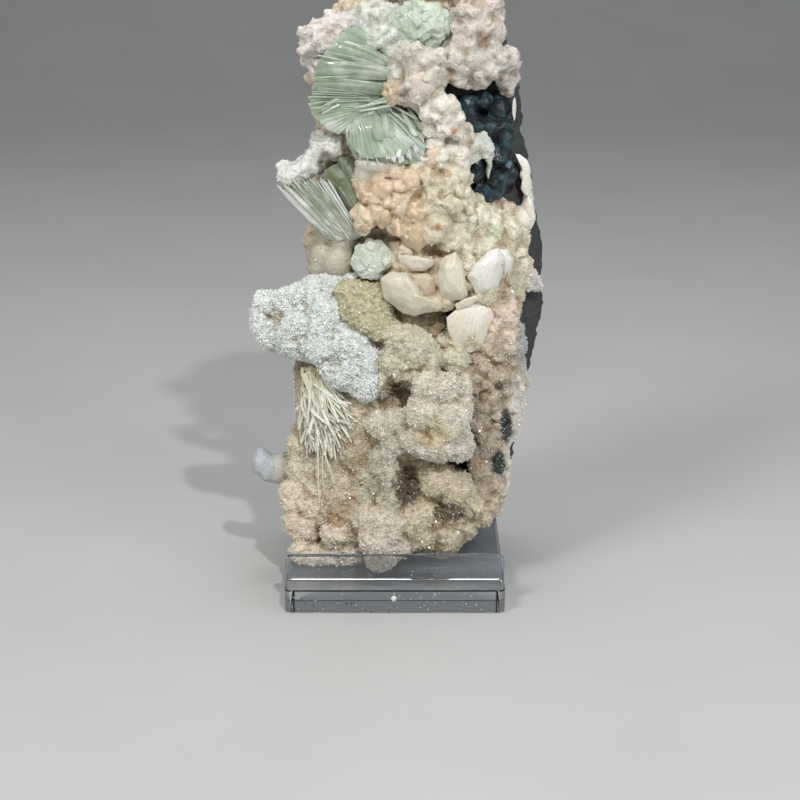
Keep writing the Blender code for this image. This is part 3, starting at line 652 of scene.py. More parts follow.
# White spikes at the foot of the fan
FAN_SPIKES = (
    (0, 214, 33, -1, 204, 29, 2.4, 1.6),
    (2, 215, 33, 3, 203, 30, 2.6, 1.6),
    (4, 216, 33, 7, 205, 31, 2.4, 1.6),
    (-1, 212, 32, -4, 205, 29, 2.0, 1.4),
    (3, 213, 32, 1, 206, 28.5, 2.0, 1.4),
    (6, 217, 34, 11, 208, 33, 2.2, 1.5),
)

LEFT_SHELLS = (
    (
        ((-31, 170, 41), (-22, 169, 40), (-15, 171, 40)),
        ((-51, 191, 39), (-53, 194.5, 38), (-46, 197, 37), (-38, 197.5, 37), (-30, 196.5, 37)),
        3.5, 6.0, 19, 1.2,
    ),
    (
        ((-26, 169, 38), (-16, 172, 38)),
        ((-50, 194, 36), (-44, 196, 34), (-36, 195, 34)),
        2.0, 3.0, 13, 1.0,
    ),
)

GLASS_SHELLS = (
    (
        ((-14, 178, 44), (-12, 186, 45)),
        ((-34, 197, 40), (-33, 204, 41), (-27, 207, 43), (-20, 208, 44), (-13, 206, 45)),
        5.0, 8.0, 4, 1.4,
    ),
    (
        ((-15, 174, 42), (-11, 181, 43)),
        ((-28, 192, 37), (-24, 198, 37), (-17, 199, 39)),
        4.0, 6.0, 3, 1.2,
    ),
)

# Clusters of stubby square crystals: middle, radii, count, least and greatest width
ROSETTE_CLUSTER = ((12, 267, 46), (13.5, 11, 11), 70, 4.0, 7.5)
SMALL_CLUSTER_BLOCKS = ((-10, 161, 39), (9.5, 9, 8), 34, 4.0, 8.0)
CLEAR_CRYSTALS = ((1.4, 187, 30), (3.4, 2.4, 2.6), 9, 2.6, 4.2)

# Cut crystals on the crust: tint, depth, thickness behind, rise in front, outline as (across, up)
# Round peach bulbs between the crystals
KNOB_LUMPS = (
    ("peach bulbs", (218, 196, 170), "knobby", (
        (-5, 193, 32, 5.4, 4.1, 5, 0),
        (6.8, 197, 31, 4.5, 5.4, 5, 0),
        (1.4, 193.5, 30, 3.2, 3, 4, 0),
        (-9.5, 188, 33, 3.4, 3.6, 4, 0),
        (2.3, 183.2, 29, 2.7, 3.5, 4, 0),
        (1.4, 175, 29.5, 2.7, 4.5, 4, 15),
        (8.6, 181, 28, 3.2, 3, 4, 0),
        (-3, 186, 30, 3, 2.8, 4, 0),
    )),
    ("cream bulbs by the dark window", (208, 201, 180), "knobby", (
        (30.5, 198.6, 37, 4.2, 4, 5, 0),
        (29, 192, 35, 3.2, 3.2, 4, 0),
        (33, 191, 36, 2.6, 3.2, 4, 0),
        (31, 186, 35, 3, 2.6, 4, 0),
        (16, 197.5, 34, 2.6, 2.6, 4, 0),
        (20, 194.5, 34, 2.2, 2.4, 3, 0),
        (34, 183, 36, 2.6, 3, 4, 0),
    )),
)

CUT_CRYSTALS = (
    ("boat-shaped leaf", (222, 214, 198), 31, 7, 2.6, (
        (1, 162.5), (5, 163), (10.5, 162.5), (18, 160.5), (17, 157.5), (11.5, 155.5), (7, 155.5),
        (2.5, 158.5),
    )),
    ("white slab on the leaf", (230, 226, 217), 33, 6, 1.2, (
        (1, 164), (7, 166.5), (8.5, 164), (7.5, 162.5), (1.5, 162),
    )),
    ("tooth", (224, 218, 202), 32, 11, 6, (
        (27.5, 164.5), (30.5, 159.5), (32, 151.5), (33, 145), (30.5, 142), (24, 142), (20.5, 144.5),
        (19, 152.5), (20.5, 159.5), (23, 162.5),
    )),
    ("left molar", (232, 230, 224), 33, 11, 5, (
        (41.5, 164), (47, 166), (50, 161.5), (49, 155), (47, 147.5), (42.5, 144), (37, 144.5),
        (35, 149.5), (32.5, 152.5), (34, 157.5), (38.5, 160.5),
    )),
    ("right molar", (228, 226, 219), 36, 8, 3, (
        (46, 165.5), (51.5, 165), (54, 160.5), (53, 156), (50, 152.5), (47.5, 156),
    )),
    ("horn", (218, 211, 193), 29, 13, 6.5, (
        (-7, 152), (-1.5, 155), (5, 155), (10, 149.5), (13, 143.5), (17, 142.5), (20.5, 140),
        (19.5, 137.5), (14, 136.5), (8.5, 135), (4, 136), (-0.5, 139.5), (-5, 143),
    )),
    ("lump behind the horn", (208, 195, 174), 33, 10, 4, (
        (6, 154), (14, 155), (18.5, 152.5), (18.5, 145), (14, 142.5), (8.5, 148.5),
    )),
    ("thin leaf on the shell", (222, 214, 198), 30, 5, 1.4, (
        (27, 140.5), (31.5, 143), (37, 144.5), (38, 142.5), (34, 139), (28.5, 137.5),
    )),
    ("ivory wedge", (222, 215, 190), 33, 10, 3, (
        (-16, 186), (-12, 183.5), (-10, 178.5), (-11.5, 172.5), (-16.5, 173), (-18, 177.5),
    )),
    ("white crystal with the orange speck", (222, 212, 194), 32, 10, 3, (
        (15, 178.5), (20.5, 180), (26, 178.5), (25, 172.5), (21.5, 168), (17, 168), (14.5, 173.5),
    )),
    ("cream arch under the sheaf", (220, 209, 186), 32, 10, 4, (
        (9.5, 188.5), (15, 187.5), (20.5, 187), (26, 191), (28.5, 185), (25, 179.5), (17.5, 179),
        (12.5, 182.5),
    )),
    ("left knob", (214, 194, 164), 32, 9, 4.5, (
        (-8.5, 183.5), (-3, 184.5), (-1, 181.5), (-2.5, 176), (-6, 174.5), (-9.5, 177.5),
    )),
    ("middle knob", (208, 188, 158), 31, 10, 5, (
        (6, 177.5), (12.5, 179), (15.5, 174), (14.5, 167.5), (10.5, 164), (6, 167), (4, 173),
    )),
    ("upper knob", (220, 200, 176), 33, 9, 4, (
        (-1.5, 197.5), (6, 198.5), (11, 194), (8.5, 189), (2.5, 188.5), (-2, 192.5),
    )),
    ("knob beside the arch", (206, 200, 176), 38, 8, 3, (
        (23, 208.5), (27, 210), (29.5, 207), (27.5, 203), (24, 203),
    )),
    ("peach crystal", (222, 208, 196), 29, 9, 3.5, (
        (6.5, 245), (13, 247), (18.5, 243), (17.5, 237), (13, 232.5), (7, 233), (5.5, 239.5),
    )),
    ("crystal in the tan hollow", (222, 204, 184), 36, 8, 3, (
        (14, 210.5), (20.5, 212.5), (23, 207.5), (19.5, 202.5), (14, 201.5), (11.5, 206),
    )),
    ("white sliver on the dark rock", (214, 212, 206), 45, 3, 0.5, (
        (53.6, 233), (54.6, 235), (55.1, 231), (54.9, 225), (54.2, 223.5), (53.4, 226),
    )),
    ("white slab right of the dark window", (232, 229, 221), 51, 8, 1.2, (
        (54.5, 209), (57.2, 208.4), (59.9, 206), (61.4, 203), (61.8, 198.3), (61.4, 193.8), (60.4, 189),
        (58.6, 190.6), (57.4, 193), (57.8, 196.5), (56.6, 199), (58, 202), (56.4, 205.5),
    )),
    ("white slab below it", (228, 225, 216), 51, 9, 1.4, (
        (60.6, 190.5), (62.4, 187), (63.6, 183), (64.2, 178.5), (61.5, 174), (58, 175), (59, 180),
        (58.6, 184.5),
    )),
)

# Ribbed plates of the crust
SHEAF_SHELLS = (
    (
        ((33, 142, 33), (38, 142.5, 34), (41, 141, 35)),
        ((23, 134, 31), (25, 125, 31), (33, 117.5, 33), (40, 121, 33), (45.5, 131, 35), (46.5, 137, 36)),
        4.5, 6.0, 13, 0.6,
    ),
    (
        ((18, 232, 36), (26, 231, 37)),
        ((10.5, 221, 36), (14, 216, 34), (20, 216, 35), (28, 219, 38)),
        3.0, 5.0, 11, 0.7,
    ),
    (
        ((18, 236, 37), (27, 235, 39)),
        ((12, 229, 35), (18, 224, 33), (26, 223, 35), (30, 228, 38)),
        2.5, 4.0, 9, 0.7,
    ),
)


def to_linear(tint):
    return tuple(((c / 255 + 0.055) / 1.055) ** 2.4 for c in tint)


RISE = Vector((0.0, math.sin(EYE_TILT), math.cos(EYE_TILT)))
LOOK = Vector((0.0, math.cos(EYE_TILT), -math.sin(EYE_TILT)))
FRONT = Vector((0.0, -STAND_DEPTH / 2, 0.0))
EYE = FRONT + Vector((EYE_ACROSS, 0.0, 0.0)) + EYE_UP * RISE - EYE_DISTANCE * LOOK


def seen(across, up, depth):
    """The place, in metres, that lies this deep behind what the eye sees at (across, up)."""
    spot = FRONT + Vector((across, 0.0, 0.0)) + up * RISE
    reach = (depth - STAND_DEPTH / 2 - EYE.y) / (spot.y - EYE.y)
    return (EYE + (spot - EYE) * reach) * MM


# Mesh helpers


def mesh_from(name, points, faces, material=None):
    mesh = bpy.data.meshes.new(name)
    mesh.from_pydata([tuple(p) for p in points], [], [tuple(f) for f in faces])
    mesh.update()
    made = bpy.data.objects.new(name, mesh)
    bpy.context.scene.collection.objects.link(made)
    if material:
        mesh.materials.append(material)
    return made


def object_from(name, bm, material=None):
    mesh = bpy.data.meshes.new(name)
    bm.to_mesh(mesh)
    bm.free()
    made = bpy.data.objects.new(name, mesh)
    bpy.context.scene.collection.objects.link(made)
    if material:
        mesh.materials.append(material)
    return made


def bake(thing):
    graph = bpy.context.evaluated_depsgraph_get()
    mesh = bpy.data.meshes.new_from_object(thing.evaluated_get(graph))
    thing.modifiers.clear()
    thing.data = mesh


def fuse(thing, voxel):
    remesh = thing.modifiers.new("even faces", "REMESH")
    remesh.mode = "VOXEL"
    remesh.voxel_size = voxel * MM
    bake(thing)


def points_of(mesh):
    points = np.empty(len(mesh.vertices) * 3, np.float32)
    mesh.vertices.foreach_get("co", points)
    return points.reshape(-1, 3).astype(float)


def normals_of(mesh):
    normals = np.empty(len(mesh.vertices) * 3, np.float32)
    mesh.vertex_normals.foreach_get("vector", normals)
    return normals.reshape(-1, 3).astype(float)


def move_points(mesh, points):
    mesh.vertices.foreach_set("co", points.astype(np.float32).ravel())
    mesh.update()


def smoothed(points, mesh, rounds):
    """The points after each has moved to its neighbours' mean this many times."""
    ends = np.empty(len(mesh.edges) * 2, np.int32)
    mesh.edges.foreach_get("vertices", ends)
    a, b = ends.reshape(-1, 2).T
    count = np.bincount(a, minlength=len(points)) + np.bincount(b, minlength=len(points))
    count = np.maximum(count, 1)
    for _ in range(rounds):
        points = np.stack([
            (
                np.bincount(a, points[b, k], len(points))
                + np.bincount(b, points[a, k], len(points))
            ) / count
            for k in range(3)
        ], axis=1)
    return points


def set_tint(mesh, colours):
    tint = mesh.attributes.new("tint", "FLOAT_COLOR", "POINT")
    rgba = np.ones((len(colours), 4), np.float32)
    rgba[:, :3] = np.clip(colours, 0, 1)
    tint.data.foreach_set("color", rgba.ravel())


def smooth_faces(mesh, keep=None):
    """Smooth shading all over, or only where keep, a share for each point, is over a half."""
    flags = np.ones(len(mesh.polygons), bool)
    if keep is not None:
        firsts = np.empty(len(mesh.polygons), np.int32)
        mesh.polygons.foreach_get("loop_start", firsts)
        corners = np.empty(len(mesh.loops), np.int32)
        mesh.loops.foreach_get("vertex_index", corners)
        flags = keep[corners[firsts]] > 0.5
    mesh.polygons.foreach_set("use_smooth", flags)
    mesh.update()


# Lumps


def chain(places):
    """Balls close together along a line of places with radii."""
    rows = []
    for (a, b) in zip(places, places[1:]):
        for step in range(5):
            across, up, depth, radius = (p + (q - p) * step / 5 for p, q in zip(a, b))
            rows.append((across, up, depth, radius, radius, radius, 0))
    across, up, depth, radius = places[-1]
    rows.append((across, up, depth, radius, radius, radius, 0))
    return tuple(rows)


class Lumps:
    """Ellipsoids with a tint and a finish each, from groups of rows."""

    def __init__(self, groups):
        centres, axes, radii, tints, finishes = [], [], [], [], []
        for _, tint, finish, rows in groups:
            for across, up, depth, wide, high, deep, roll in rows:
                centres.append(seen(across, up, depth))
                turn = Matrix.Rotation(-EYE_TILT, 3, "X") @ Matrix.Rotation(math.radians(-roll), 3, "Y")
                axes.append(np.array(turn))
                radii.append((wide * MM, deep * MM, high * MM))
                tints.append(to_linear(tint))
                finishes.append(FINISHES[finish])
        self.centres = np.array(centres)
        self.axes = np.array(axes)
        self.radii = np.array(radii)
        self.tints = np.array(tints)
        self.finishes = np.array(finishes)

    def mesh(self, name, material):
        bm = bmesh.new()
        bmesh.ops.create_icosphere(bm, subdivisions=4, radius=1.0)
        ball = np.array([v.co for v in bm.verts])
        faces = np.array([[v.index for v in f.verts] for f in bm.faces])
        bm.free()
        points = []
        for centre, axes, radii in zip(self.centres, self.axes, self.radii):
            points.append(centre + (ball * radii) @ axes.T)
        count = len(self.centres)
        all_faces = (faces[None] + np.arange(count)[:, None, None] * len(ball)).reshape(-1, 3)
        return mesh_from(name, np.concatenate(points), all_faces, material)

    def shares(self, points, spread=0.9):
        """How much each lump counts at each point."""
        found = []
        for part in np.array_split(points, max(1, len(points) // 8000)):
            away = part[:, None, :] - self.centres[None]
            local = np.einsum("pni,nij->pnj", away, self.axes)
            reach = np.linalg.norm(local / self.radii[None], axis=2)
            gap = (reach - 1) * self.radii.min(axis=1)[None]
            weight = np.exp(-np.clip(gap - gap.min(axis=1, keepdims=True), 0, None) / (spread * MM))
            found.append(weight / weight.sum(axis=1, keepdims=True))
        return np.concatenate(found)


def roughened(points, normals, finish, seed):
    """Points moved about by a slow warp, and out and in by swells, cells of two sizes and grain."""
    shift = Vector((seed * 7.3, seed * 3.1, seed * 5.7))
    moved = np.empty(len(points))
    warp = np.empty((len(points), 3))
    for i, point in enumerate(points):
        spot = Vector(point) / MM
        warp[i] = noise.noise_vector(spot / WARP_SIZE + shift)
        swell = noise.turbulence(spot / SWELL_SIZE + shift, 2, True) - 0.3
        cell = 0.45 - noise.voronoi(spot / CELL_SIZE + shift)[0][0]
        small_cell = 0.45 - noise.voronoi(spot / SMALL_CELL_SIZE + shift)[0][0]
        grain = noise.noise(spot / GRAIN_SIZE + shift)
        moved[i] = np.dot((swell, cell, small_cell, grain), finish[i])
    return points + normals * (moved * MM)[:, None] + warp * finish[:, :1] * WARP * MM


def flattened(points):
    """Holds points inside the sawn foot, the slanting foot and the back of the rock."""
    points = points.copy()
    points[:, 2] = np.maximum(points[:, 2], ROCK_FOOT * MM)
    points[:, 1] = np.minimum(points[:, 1], (ROCK_BACK - STAND_DEPTH / 2) * MM)
    out = np.array((math.sin(SAWN_SLOPE), 0.0, -math.cos(SAWN_SLOPE)))
    start = np.array((SAWN_START * MM, 0.0, ROCK_FOOT * MM))
    over = (points - start) @ out
    return points - np.maximum(over, 0)[:, None] * out


def crust(name, groups, material, voxel, seed, patches, crystals=None, keep=1.0):
    """A crust of lumps with its broken surface and its tints, with painted shade that darkens and warms its recesses
    and painted light and shade on its small bumps and hollows.

    Crystals, where given as (count, sizes, lean), grow out of the lumps and fuse with them.
    keep is the share of the triangles that stays.
    """
    lumps = Lumps(groups)
    body = lumps.mesh(name, material)
    fuse(body, voxel)
    points = points_of(body.data)
    finish = lumps.shares(points) @ lumps.finishes
    even = smoothed(points, body.data, round(18 / voxel))
    move_points(body.data, points + (even - points) * np.clip(finish[:, :1] * 0.75 - 0.25, 0, 1))
    if crystals:
        count, sizes, lean = crystals
        chance = np.clip((finish[:, 1] - 0.4) / 0.8, 0, 1)
        verts, faces, _ = standing(body, count, sizes, seed, TABULAR, lean, chance)
        join(body, [mesh_from("crystals", verts, faces)])
        fuse(body, voxel * 0.85)
        points = points_of(body.data)
        move_points(body.data, smoothed(points, body.data, 1))
    mesh = body.data
    points = points_of(mesh)
    shares = lumps.shares(points)
    finish = shares @ lumps.finishes
    if crystals:
        finish[:, 1:3] *= 0.4
    points = flattened(roughened(points, normals_of(mesh), finish, seed))
    move_points(mesh, points)
    normals = normals_of(mesh)
    deep = ((smoothed(points, mesh, 40) - points) * normals).sum(axis=1) / MM
    fine = ((smoothed(points, mesh, 4) - points) * normals).sum(axis=1) / MM
    # Painted shade: deep recesses are darkened and warmed.
    recess_shade = np.clip(deep / 1.6, 0, 1)[:, None]
    colours = painted(points, shares @ lumps.tints, patches)
    colours = colours * (1 - recess_shade * (1 - np.array(RECESS_SHADE_TINT)))
    # Painted light on small bumps and painted shade in small hollows.
    colours = colours * (1 + np.clip(-fine, -0.3, 0.3) * 0.35)[:, None]
    set_tint(mesh, colours)
    smooth_faces(mesh, (finish[:, 3] < 0.09).astype(float))
    if keep < 1:
        thin = body.modifiers.new("thin", "DECIMATE")
        thin.ratio = keep
        bake(body)
    return body


def join(body, others):
    """Puts the others' meshes into the body's."""
    bm = bmesh.new()
    for thing in [body] + others:
        bm.from_mesh(thing.data)
    bm.to_mesh(body.data)
    bm.free()
    for thing in others:
        bpy.data.objects.remove(thing, do_unlink=True)


# Small crystals strewn on a surface

# Each a shape of about two units across, with its faces
POINTED = (
    np.array([(1, 0, 0), (0, 1, 0), (-1, 0, 0), (0, -1, 0), (0, 0, 1.7), (0, 0, -0.8)], float),
    np.array([(0, 1, 4), (1, 2, 4), (2, 3, 4), (3, 0, 4), (1, 0, 5), (2, 1, 5), (3, 2, 5), (0, 3, 5)]),
)

TABULAR = (
    np.array([
        (sx * wide, sy * thick, height)
        for wide, thick, height in ((1.0, 0.75, -1.4), (1.1, 0.85, 0.35), (0.62, 0.45, 0.85))
        for sx, sy in ((1, 1), (-1, 1), (-1, -1), (1, -1))
    ]),
    np.array([
        (0, 1, 5, 4), (1, 2, 6, 5), (2, 3, 7, 6), (3, 0, 4, 7), (3, 2, 1, 0),
        (4, 5, 9, 8), (5, 6, 10, 9), (6, 7, 11, 10), (7, 4, 8, 11), (8, 9, 10, 11),
    ]),
)


def standing(body, count, sizes, seed, shape, lean, likely):
    """Points and faces of many small crystals that stand on a body, and the body's point under each.

    likely holds each point's share of them. Faces turned away from the eye get few.
    """
    rng = np.random.default_rng(seed)
    mesh = body.data
    mesh.calc_loop_triangles()
    corners = np.empty(len(mesh.loop_triangles) * 3, np.int32)
    mesh.loop_triangles.foreach_get("vertices", corners)
    corners = corners.reshape(-1, 3)
    points = points_of(mesh)
    a, b, c = (points[corners[:, k]] for k in range(3))
    across = np.cross(b - a, c - a)
    area = np.linalg.norm(across, axis=1)
    outward = across / np.maximum(area, 1e-12)[:, None]
    chance = area * np.clip(0.35 - outward @ np.array(LOOK), 0.06, 1) * likely[corners[:, 0]]
    chosen = rng.choice(len(corners), count, p=chance / chance.sum())
    u, v = rng.random((2, count))
    flip = u + v > 1
    u[flip], v[flip] = 1 - u[flip], 1 - v[flip]
    base = a[chosen] + u[:, None] * (b - a)[chosen] + v[:, None] * (c - a)[chosen]
    up = across[chosen] / area[chosen, None] + rng.normal(0, lean, (count, 3)) * 0.5
    up /= np.linalg.norm(up, axis=1, keepdims=True)
    side = np.cross(up, rng.normal(0, 1, (count, 3)))
    side /= np.linalg.norm(side, axis=1, keepdims=True)
    turn = np.stack([side, np.cross(up, side), up], axis=2)
    size = rng.uniform(sizes[0], sizes[1], count)[:, None, None] * MM / 2
    stretch = rng.uniform(0.7, 1.3, (count, 1, 3))
    template, faces = shape
    verts = base[:, None, :] + (template[None] * stretch * size) @ turn.transpose(0, 2, 1)
    all_faces = (faces[None] + np.arange(count)[:, None, None] * len(template)).reshape(-1, faces.shape[1])
    return verts.reshape(-1, 3), all_faces, corners[chosen, 0]


def strew(name, body, count, sizes, material, seed, likely=None, bright=0.12):
    """Many small pointed crystals that glitter on a body, as one mesh. A share of them is painted near white, as
    painted glints.
    """
    if likely is None:
        likely = np.ones(len(body.data.vertices))
    verts, faces, under = standing(body, count, sizes, seed, POINTED, 0.8, likely)
    made = mesh_from(name, verts, faces, material)
    rng = np.random.default_rng(seed + 100)
    tint = np.empty(len(body.data.vertices) * 4, np.float32)
    body.data.attributes["tint"].data.foreach_get("color", tint)
    tint = tint.reshape(-1, 4)[under, :3] * rng.uniform(0.96, 1.14, (count, 1))
    # Painted glints: this share of the grains is tinted near white.
    tint = np.where(rng.random((count, 1)) < bright, 0.35 * tint + 0.55, tint)
    set_tint(made.data, np.repeat(tint, len(POINTED[0]), axis=0))
    return made


# Cut crystals


def cut_crystals(name, rows, material, seed):
    """Crystals with flat facets that step in from an outline, as one mesh with softened edges."""
    rng = random.Random(seed)
    points, faces, tints = [], [], []
    for _, tint, depth, thickness, rise, outline in rows:
        count = len(outline)
        middle = tuple(sum(spot[k] for spot in outline) / count for k in range(2))
        lean = rng.uniform(-0.25, 0.25)
        first = len(points)
        for inset, height in ((0.25, -1.0), (0.0, -0.25), (0.0, 0.1), (0.30, 0.75), (0.62, 1.0)):
            for across, up in outline:
                share = inset * rng.uniform(0.85, 1.15)
                spot = seen(
                    across + (middle[0] + lean * 4 - across) * share,
                    up + (middle[1] + 1 - up) * share, depth,
                )
                level = height * (rise if height > 0 else thickness)
                if 0 < inset and height > 0:
                    level += rise * rng.uniform(-0.10, 0.10)
                points.append(spot - LOOK * (level * MM))
                tints.append(to_linear(tint))
        for ring in range(4):
            low = first + ring * count
            for step in range(count):
                after = (step + 1) % count
                faces.append((low + step, low + after, low + count + after, low + count + step))
        faces.append(tuple(first + step for step in reversed(range(count))))
        top = first + 4 * count
        points.append(sum((points[top + step] for step in range(count)), Vector()) / count - LOOK * (0.2 * MM))
        tints.append(to_linear(tint))
        for step in range(count):
            faces.append((top + step, top + (step + 1) % count, len(points) - 1))
    made = mesh_from(name, points, faces, material)
    bm = bmesh.new()
    bm.from_mesh(made.data)
    bmesh.ops.recalc_face_normals(bm, faces=bm.faces)
    bm.to_mesh(made.data)
    bm.free()
    set_tint(made.data, np.array(tints))
    soften = made.modifiers.new("soften", "BEVEL")
    soften.width = 0.6 * MM
    soften.segments = 1
    soften.angle_limit = math.radians(14)
    rounding = made.modifiers.new("rounding", "SUBSURF")
    rounding.levels = 1
    bake(made)
    points, normals = points_of(made.data), normals_of(made.data)
    swells = np.array([
        noise.noise(Vector(point) / (4.0 * MM)) + 0.4 * noise.noise(Vector(point) / (1.6 * MM))
        for point in points
    ])
    move_points(made.data, points + normals * (swells * 0.45 * MM)[:, None])
    smooth_faces(made.data)
    return made


# Crystal blades


def along_line(places, share):
    """The point this share of the way along a smooth line through places."""
    spot = share * (len(places) - 1)
    index = min(int(spot), len(places) - 2)
    t = spot - index
    a, b = (seen(*places[max(index - 1, 0)]), seen(*places[index]))
    c, d = (seen(*places[index + 1]), seen(*places[min(index + 2, len(places) - 1)]))
    return b + ((c - a) * t + (a * 2 - b * 5 + c * 4 - d) * t * t + (b * 3 - a - c * 3 + d) * t * t * t) / 2


class Blades:
    """Gathers ribbed crystal blades into one mesh."""

    def __init__(self, seed):
        self.rng = random.Random(seed)
        self.points = []
        self.faces = []
        self.frost = []

    def blade(self, start, end, out, width, thickness, ribs, bow=0.0, tip=0.45, spread=0.75):
        """A blade that widens from its root and ends in a bevelled tip. The ribs run along it."""
        along = end - start
        side = along.cross(out).normalized()
        out = side.cross(along).normalized()
        stations = (0.0, 0.22, 0.45, 0.66, 0.84, 0.94, 1.0)
        steps = 2 * max(5, ribs * 2)
        phase = self.rng.uniform(0, 6)
        skew = self.rng.uniform(-0.35, 0.35)
        first = len(self.points)
        for share in stations:
            wide = 0.35 + spread * share ** 0.8
            thick = 0.7 + 0.3 * share
            if share > 0.9:
                close = (share - 0.9) / 0.1
                wide *= 1 - (1 - tip) * close
                thick *= 1 - 0.65 * close
            middle = start + along * share + out * (bow * MM * math.sin(math.pi * share))
            for step in range(steps):
                angle = 2 * math.pi * step / steps
                u, v = math.cos(angle), math.sin(angle)
                u = math.copysign(abs(u) ** 0.8, u)
                rib = 1.0 + 0.16 * math.sin(ribs * math.pi * u + phase) * (0.3 + share)
                back = along * (0.10 * skew * u * share * (1 if share > 0.8 else 0))
                self.points.append(
                    middle
                    + side * (u * wide * width * MM / 2)
                    + out * (v * rib * thick * thickness * MM / 2)
                    + back
                )
                self.frost.append(0.3 + 0.4 * max(v, 0) * share)
        rows = len(stations)
        for row in range(rows - 1):
            low = first + row * steps
            for step in range(steps):
                after = (step + 1) % steps
                self.faces.append((low + step, low + steps + step, low + steps + after, low + after))
        self.faces.append(tuple(first + step for step in range(steps)))
        last = first + (rows - 1) * steps
        self.faces.append(tuple(last + step for step in reversed(range(steps))))

    def shell(self, roots, rims, bulge, thickness, ribs, depth, notch=0.05, steps=12):
        """Ribs grown side by side from a root line to a rim line, as one plate that bulges outward."""
        rng = self.rng
        columns = []
        for rib in range(ribs):
            reach = 1 - rng.uniform(0, notch)
            height = depth * rng.uniform(0.5, 1.2)
            crest = rng.uniform(0.25, 0.75)
            for t, lift in ((0.0, 0.0), (0.10, 0.5), (crest, 1.0), (0.92, 0.4)):
                columns.append(((rib + t) / ribs, lift * height, reach))
        columns.append((1.0, 0.0, 1.0))
        first = len(self.points)
        for side in (1, -1):
            for u, lift, reach in columns:
                root = along_line(roots, u)
                rim = root + (along_line(rims, u) - root) * reach
                edge = math.sin(math.pi * min(max(u, 0.02), 0.98)) ** 0.5
                for step in range(steps + 1):
                    v = step / steps
                    spot = root + (rim - root) * v
                    if side == 1:
                        rise = bulge * math.sin(math.pi * v ** 0.85) * edge
                        rise += lift * v ** 0.6 * (1 - 0.5 * v ** 8)
                        self.frost.append(min(1.0, lift / depth * 0.22 + 0.5 * (1 - v) ** 3))
                    else:
                        rise = -thickness * (0.4 + 0.6 * edge) * (0.35 + 0.65 * math.sin(math.pi * v ** 0.7))
                        self.frost.append(0.5)
                    self.points.append(spot - LOOK * (rise * MM))
        rows, count = steps + 1, len(columns)
        back = first + rows * count
        for c in range(count - 1):
            for r in range(steps):
                low = first + c * rows + r
                self.faces.append((low, low + 1, low + rows + 1, low + rows))
                low = back + c * rows + r
                self.faces.append((low, low + rows, low + rows + 1, low + 1))
            for r, turn in ((0, 1), (steps, -1)):
                near = first + c * rows + r
                far = back + c * rows + r
                self.faces.append((near, near + rows, far + rows, far)[::turn])
        for c, turn in ((0, -1), (count - 1, 1)):
            for r in range(steps):
                near = first + c * rows + r
                far = back + c * rows + r
                self.faces.append((near, near + 1, far + 1, far)[::turn])

    def spray(self, row, count, share, ribs, bow=1.0, tip=0.45):
        """Blades side by side in the place of one wide one."""
        rng = self.rng
        start = seen(*row[0:3])
        end = seen(*row[3:6])
        width, thickness = row[6:8]
        along = (end - start).normalized()
        side = along.cross(LOOK).normalized()
        for k in range(count):
            place = (k + 0.5) / count - 0.5
            reach = rng.uniform(0.86, 1.0) - 0.25 * abs(place)
            sink = LOOK * (thickness * MM * (0.28 * abs(place) + rng.uniform(-0.05, 0.10)))
            root = start + side * (place * width * MM * 0.5)
            point = start + (end - start) * reach + side * (place * width * MM * 0.95) + sink
            lean = -LOOK + side * rng.uniform(-0.35, 0.35)
            self.blade(
                root, point, lean, width / count * share * rng.uniform(0.9, 1.15),
                thickness * rng.uniform(0.55, 0.8), ribs, bow, tip,
            )

    def block(self, middle, axis, width, length):
        """A square prism with a flat-topped pyramid, seen end on."""
        rng = self.rng
        side = axis.cross(Vector((rng.uniform(-1, 1), rng.uniform(-1, 1), rng.uniform(-1, 1)))).normalized()
        face = axis.cross(side)
        first = len(self.points)
        for along, scale in ((-1.0, 1.0), (0.1, 1.0), (0.55, 0.45)):
            for u, v in ((1, 1), (-1, 1), (-1, -1), (1, -1)):
                spot = middle + axis * (along * length * MM) + (side * u + face * v) * (scale * width * MM / 2)
                self.points.append(spot)
                self.frost.append(0.2 if along < 0.5 else 0.6)
        for row in range(2):
            low = first + 4 * row
            for step in range(4):
                after = (step + 1) % 4
                self.faces.append((low + step, low + after, low + 4 + after, low + 4 + step))
        self.faces.append((first + 3, first + 2, first + 1, first))
        self.faces.append((first + 8, first + 9, first + 10, first + 11))

    def cluster(self, middle, radii, count, least, greatest):
        """Stubby crystals pointing out all over the front of an oval body."""
        rng = self.rng
        centre = seen(*middle)
        for _ in range(count):
            u, v, w = (rng.gauss(0, 1) for _ in range(3))
            heading = Vector((u, -abs(w) - 0.15, v)).normalized()
            spot = centre + Vector(
                (heading.x * radii[0] * MM, heading.y * radii[2] * MM, heading.z * radii[1] * MM)
            )
            lean = Vector((rng.uniform(-0.4, 0.4), rng.uniform(-0.4, 0.2), rng.uniform(-0.4, 0.4)))
            width = rng.uniform(least, greatest)
            self.block(spot - heading * (width * 0.35 * MM), (heading + lean).normalized(), width, width * 0.8)

    def rods(self, roots, rims, count, lift, width):
        """Long thin blades lying over a plate, from its root line to its rim line."""
        rng = self.rng
        for k in range(count):
            share = (k + rng.uniform(0.2, 0.8)) / count
            raised = LOOK * (-(lift + rng.uniform(-0.4, 0.8)) * MM)
            root = along_line(roots, share)
            rim = along_line(rims, min(max(share + rng.uniform(-0.04, 0.04), 0.0), 1.0))
            start = root.lerp(rim, rng.uniform(0.0, 0.35)) + raised
            end = root.lerp(rim, rng.uniform(0.85, 1.03)) + raised * 0.7
            lean = -LOOK + Vector((rng.uniform(-0.5, 0.5), 0, 0))
            self.blade(start, end, lean, width * rng.uniform(0.6, 1.3), width * 0.8, 1, 0.3, 0.3, 0.35)
            for index in range(len(self.frost) - 70, len(self.frost)):
                self.frost[index] = 0.9

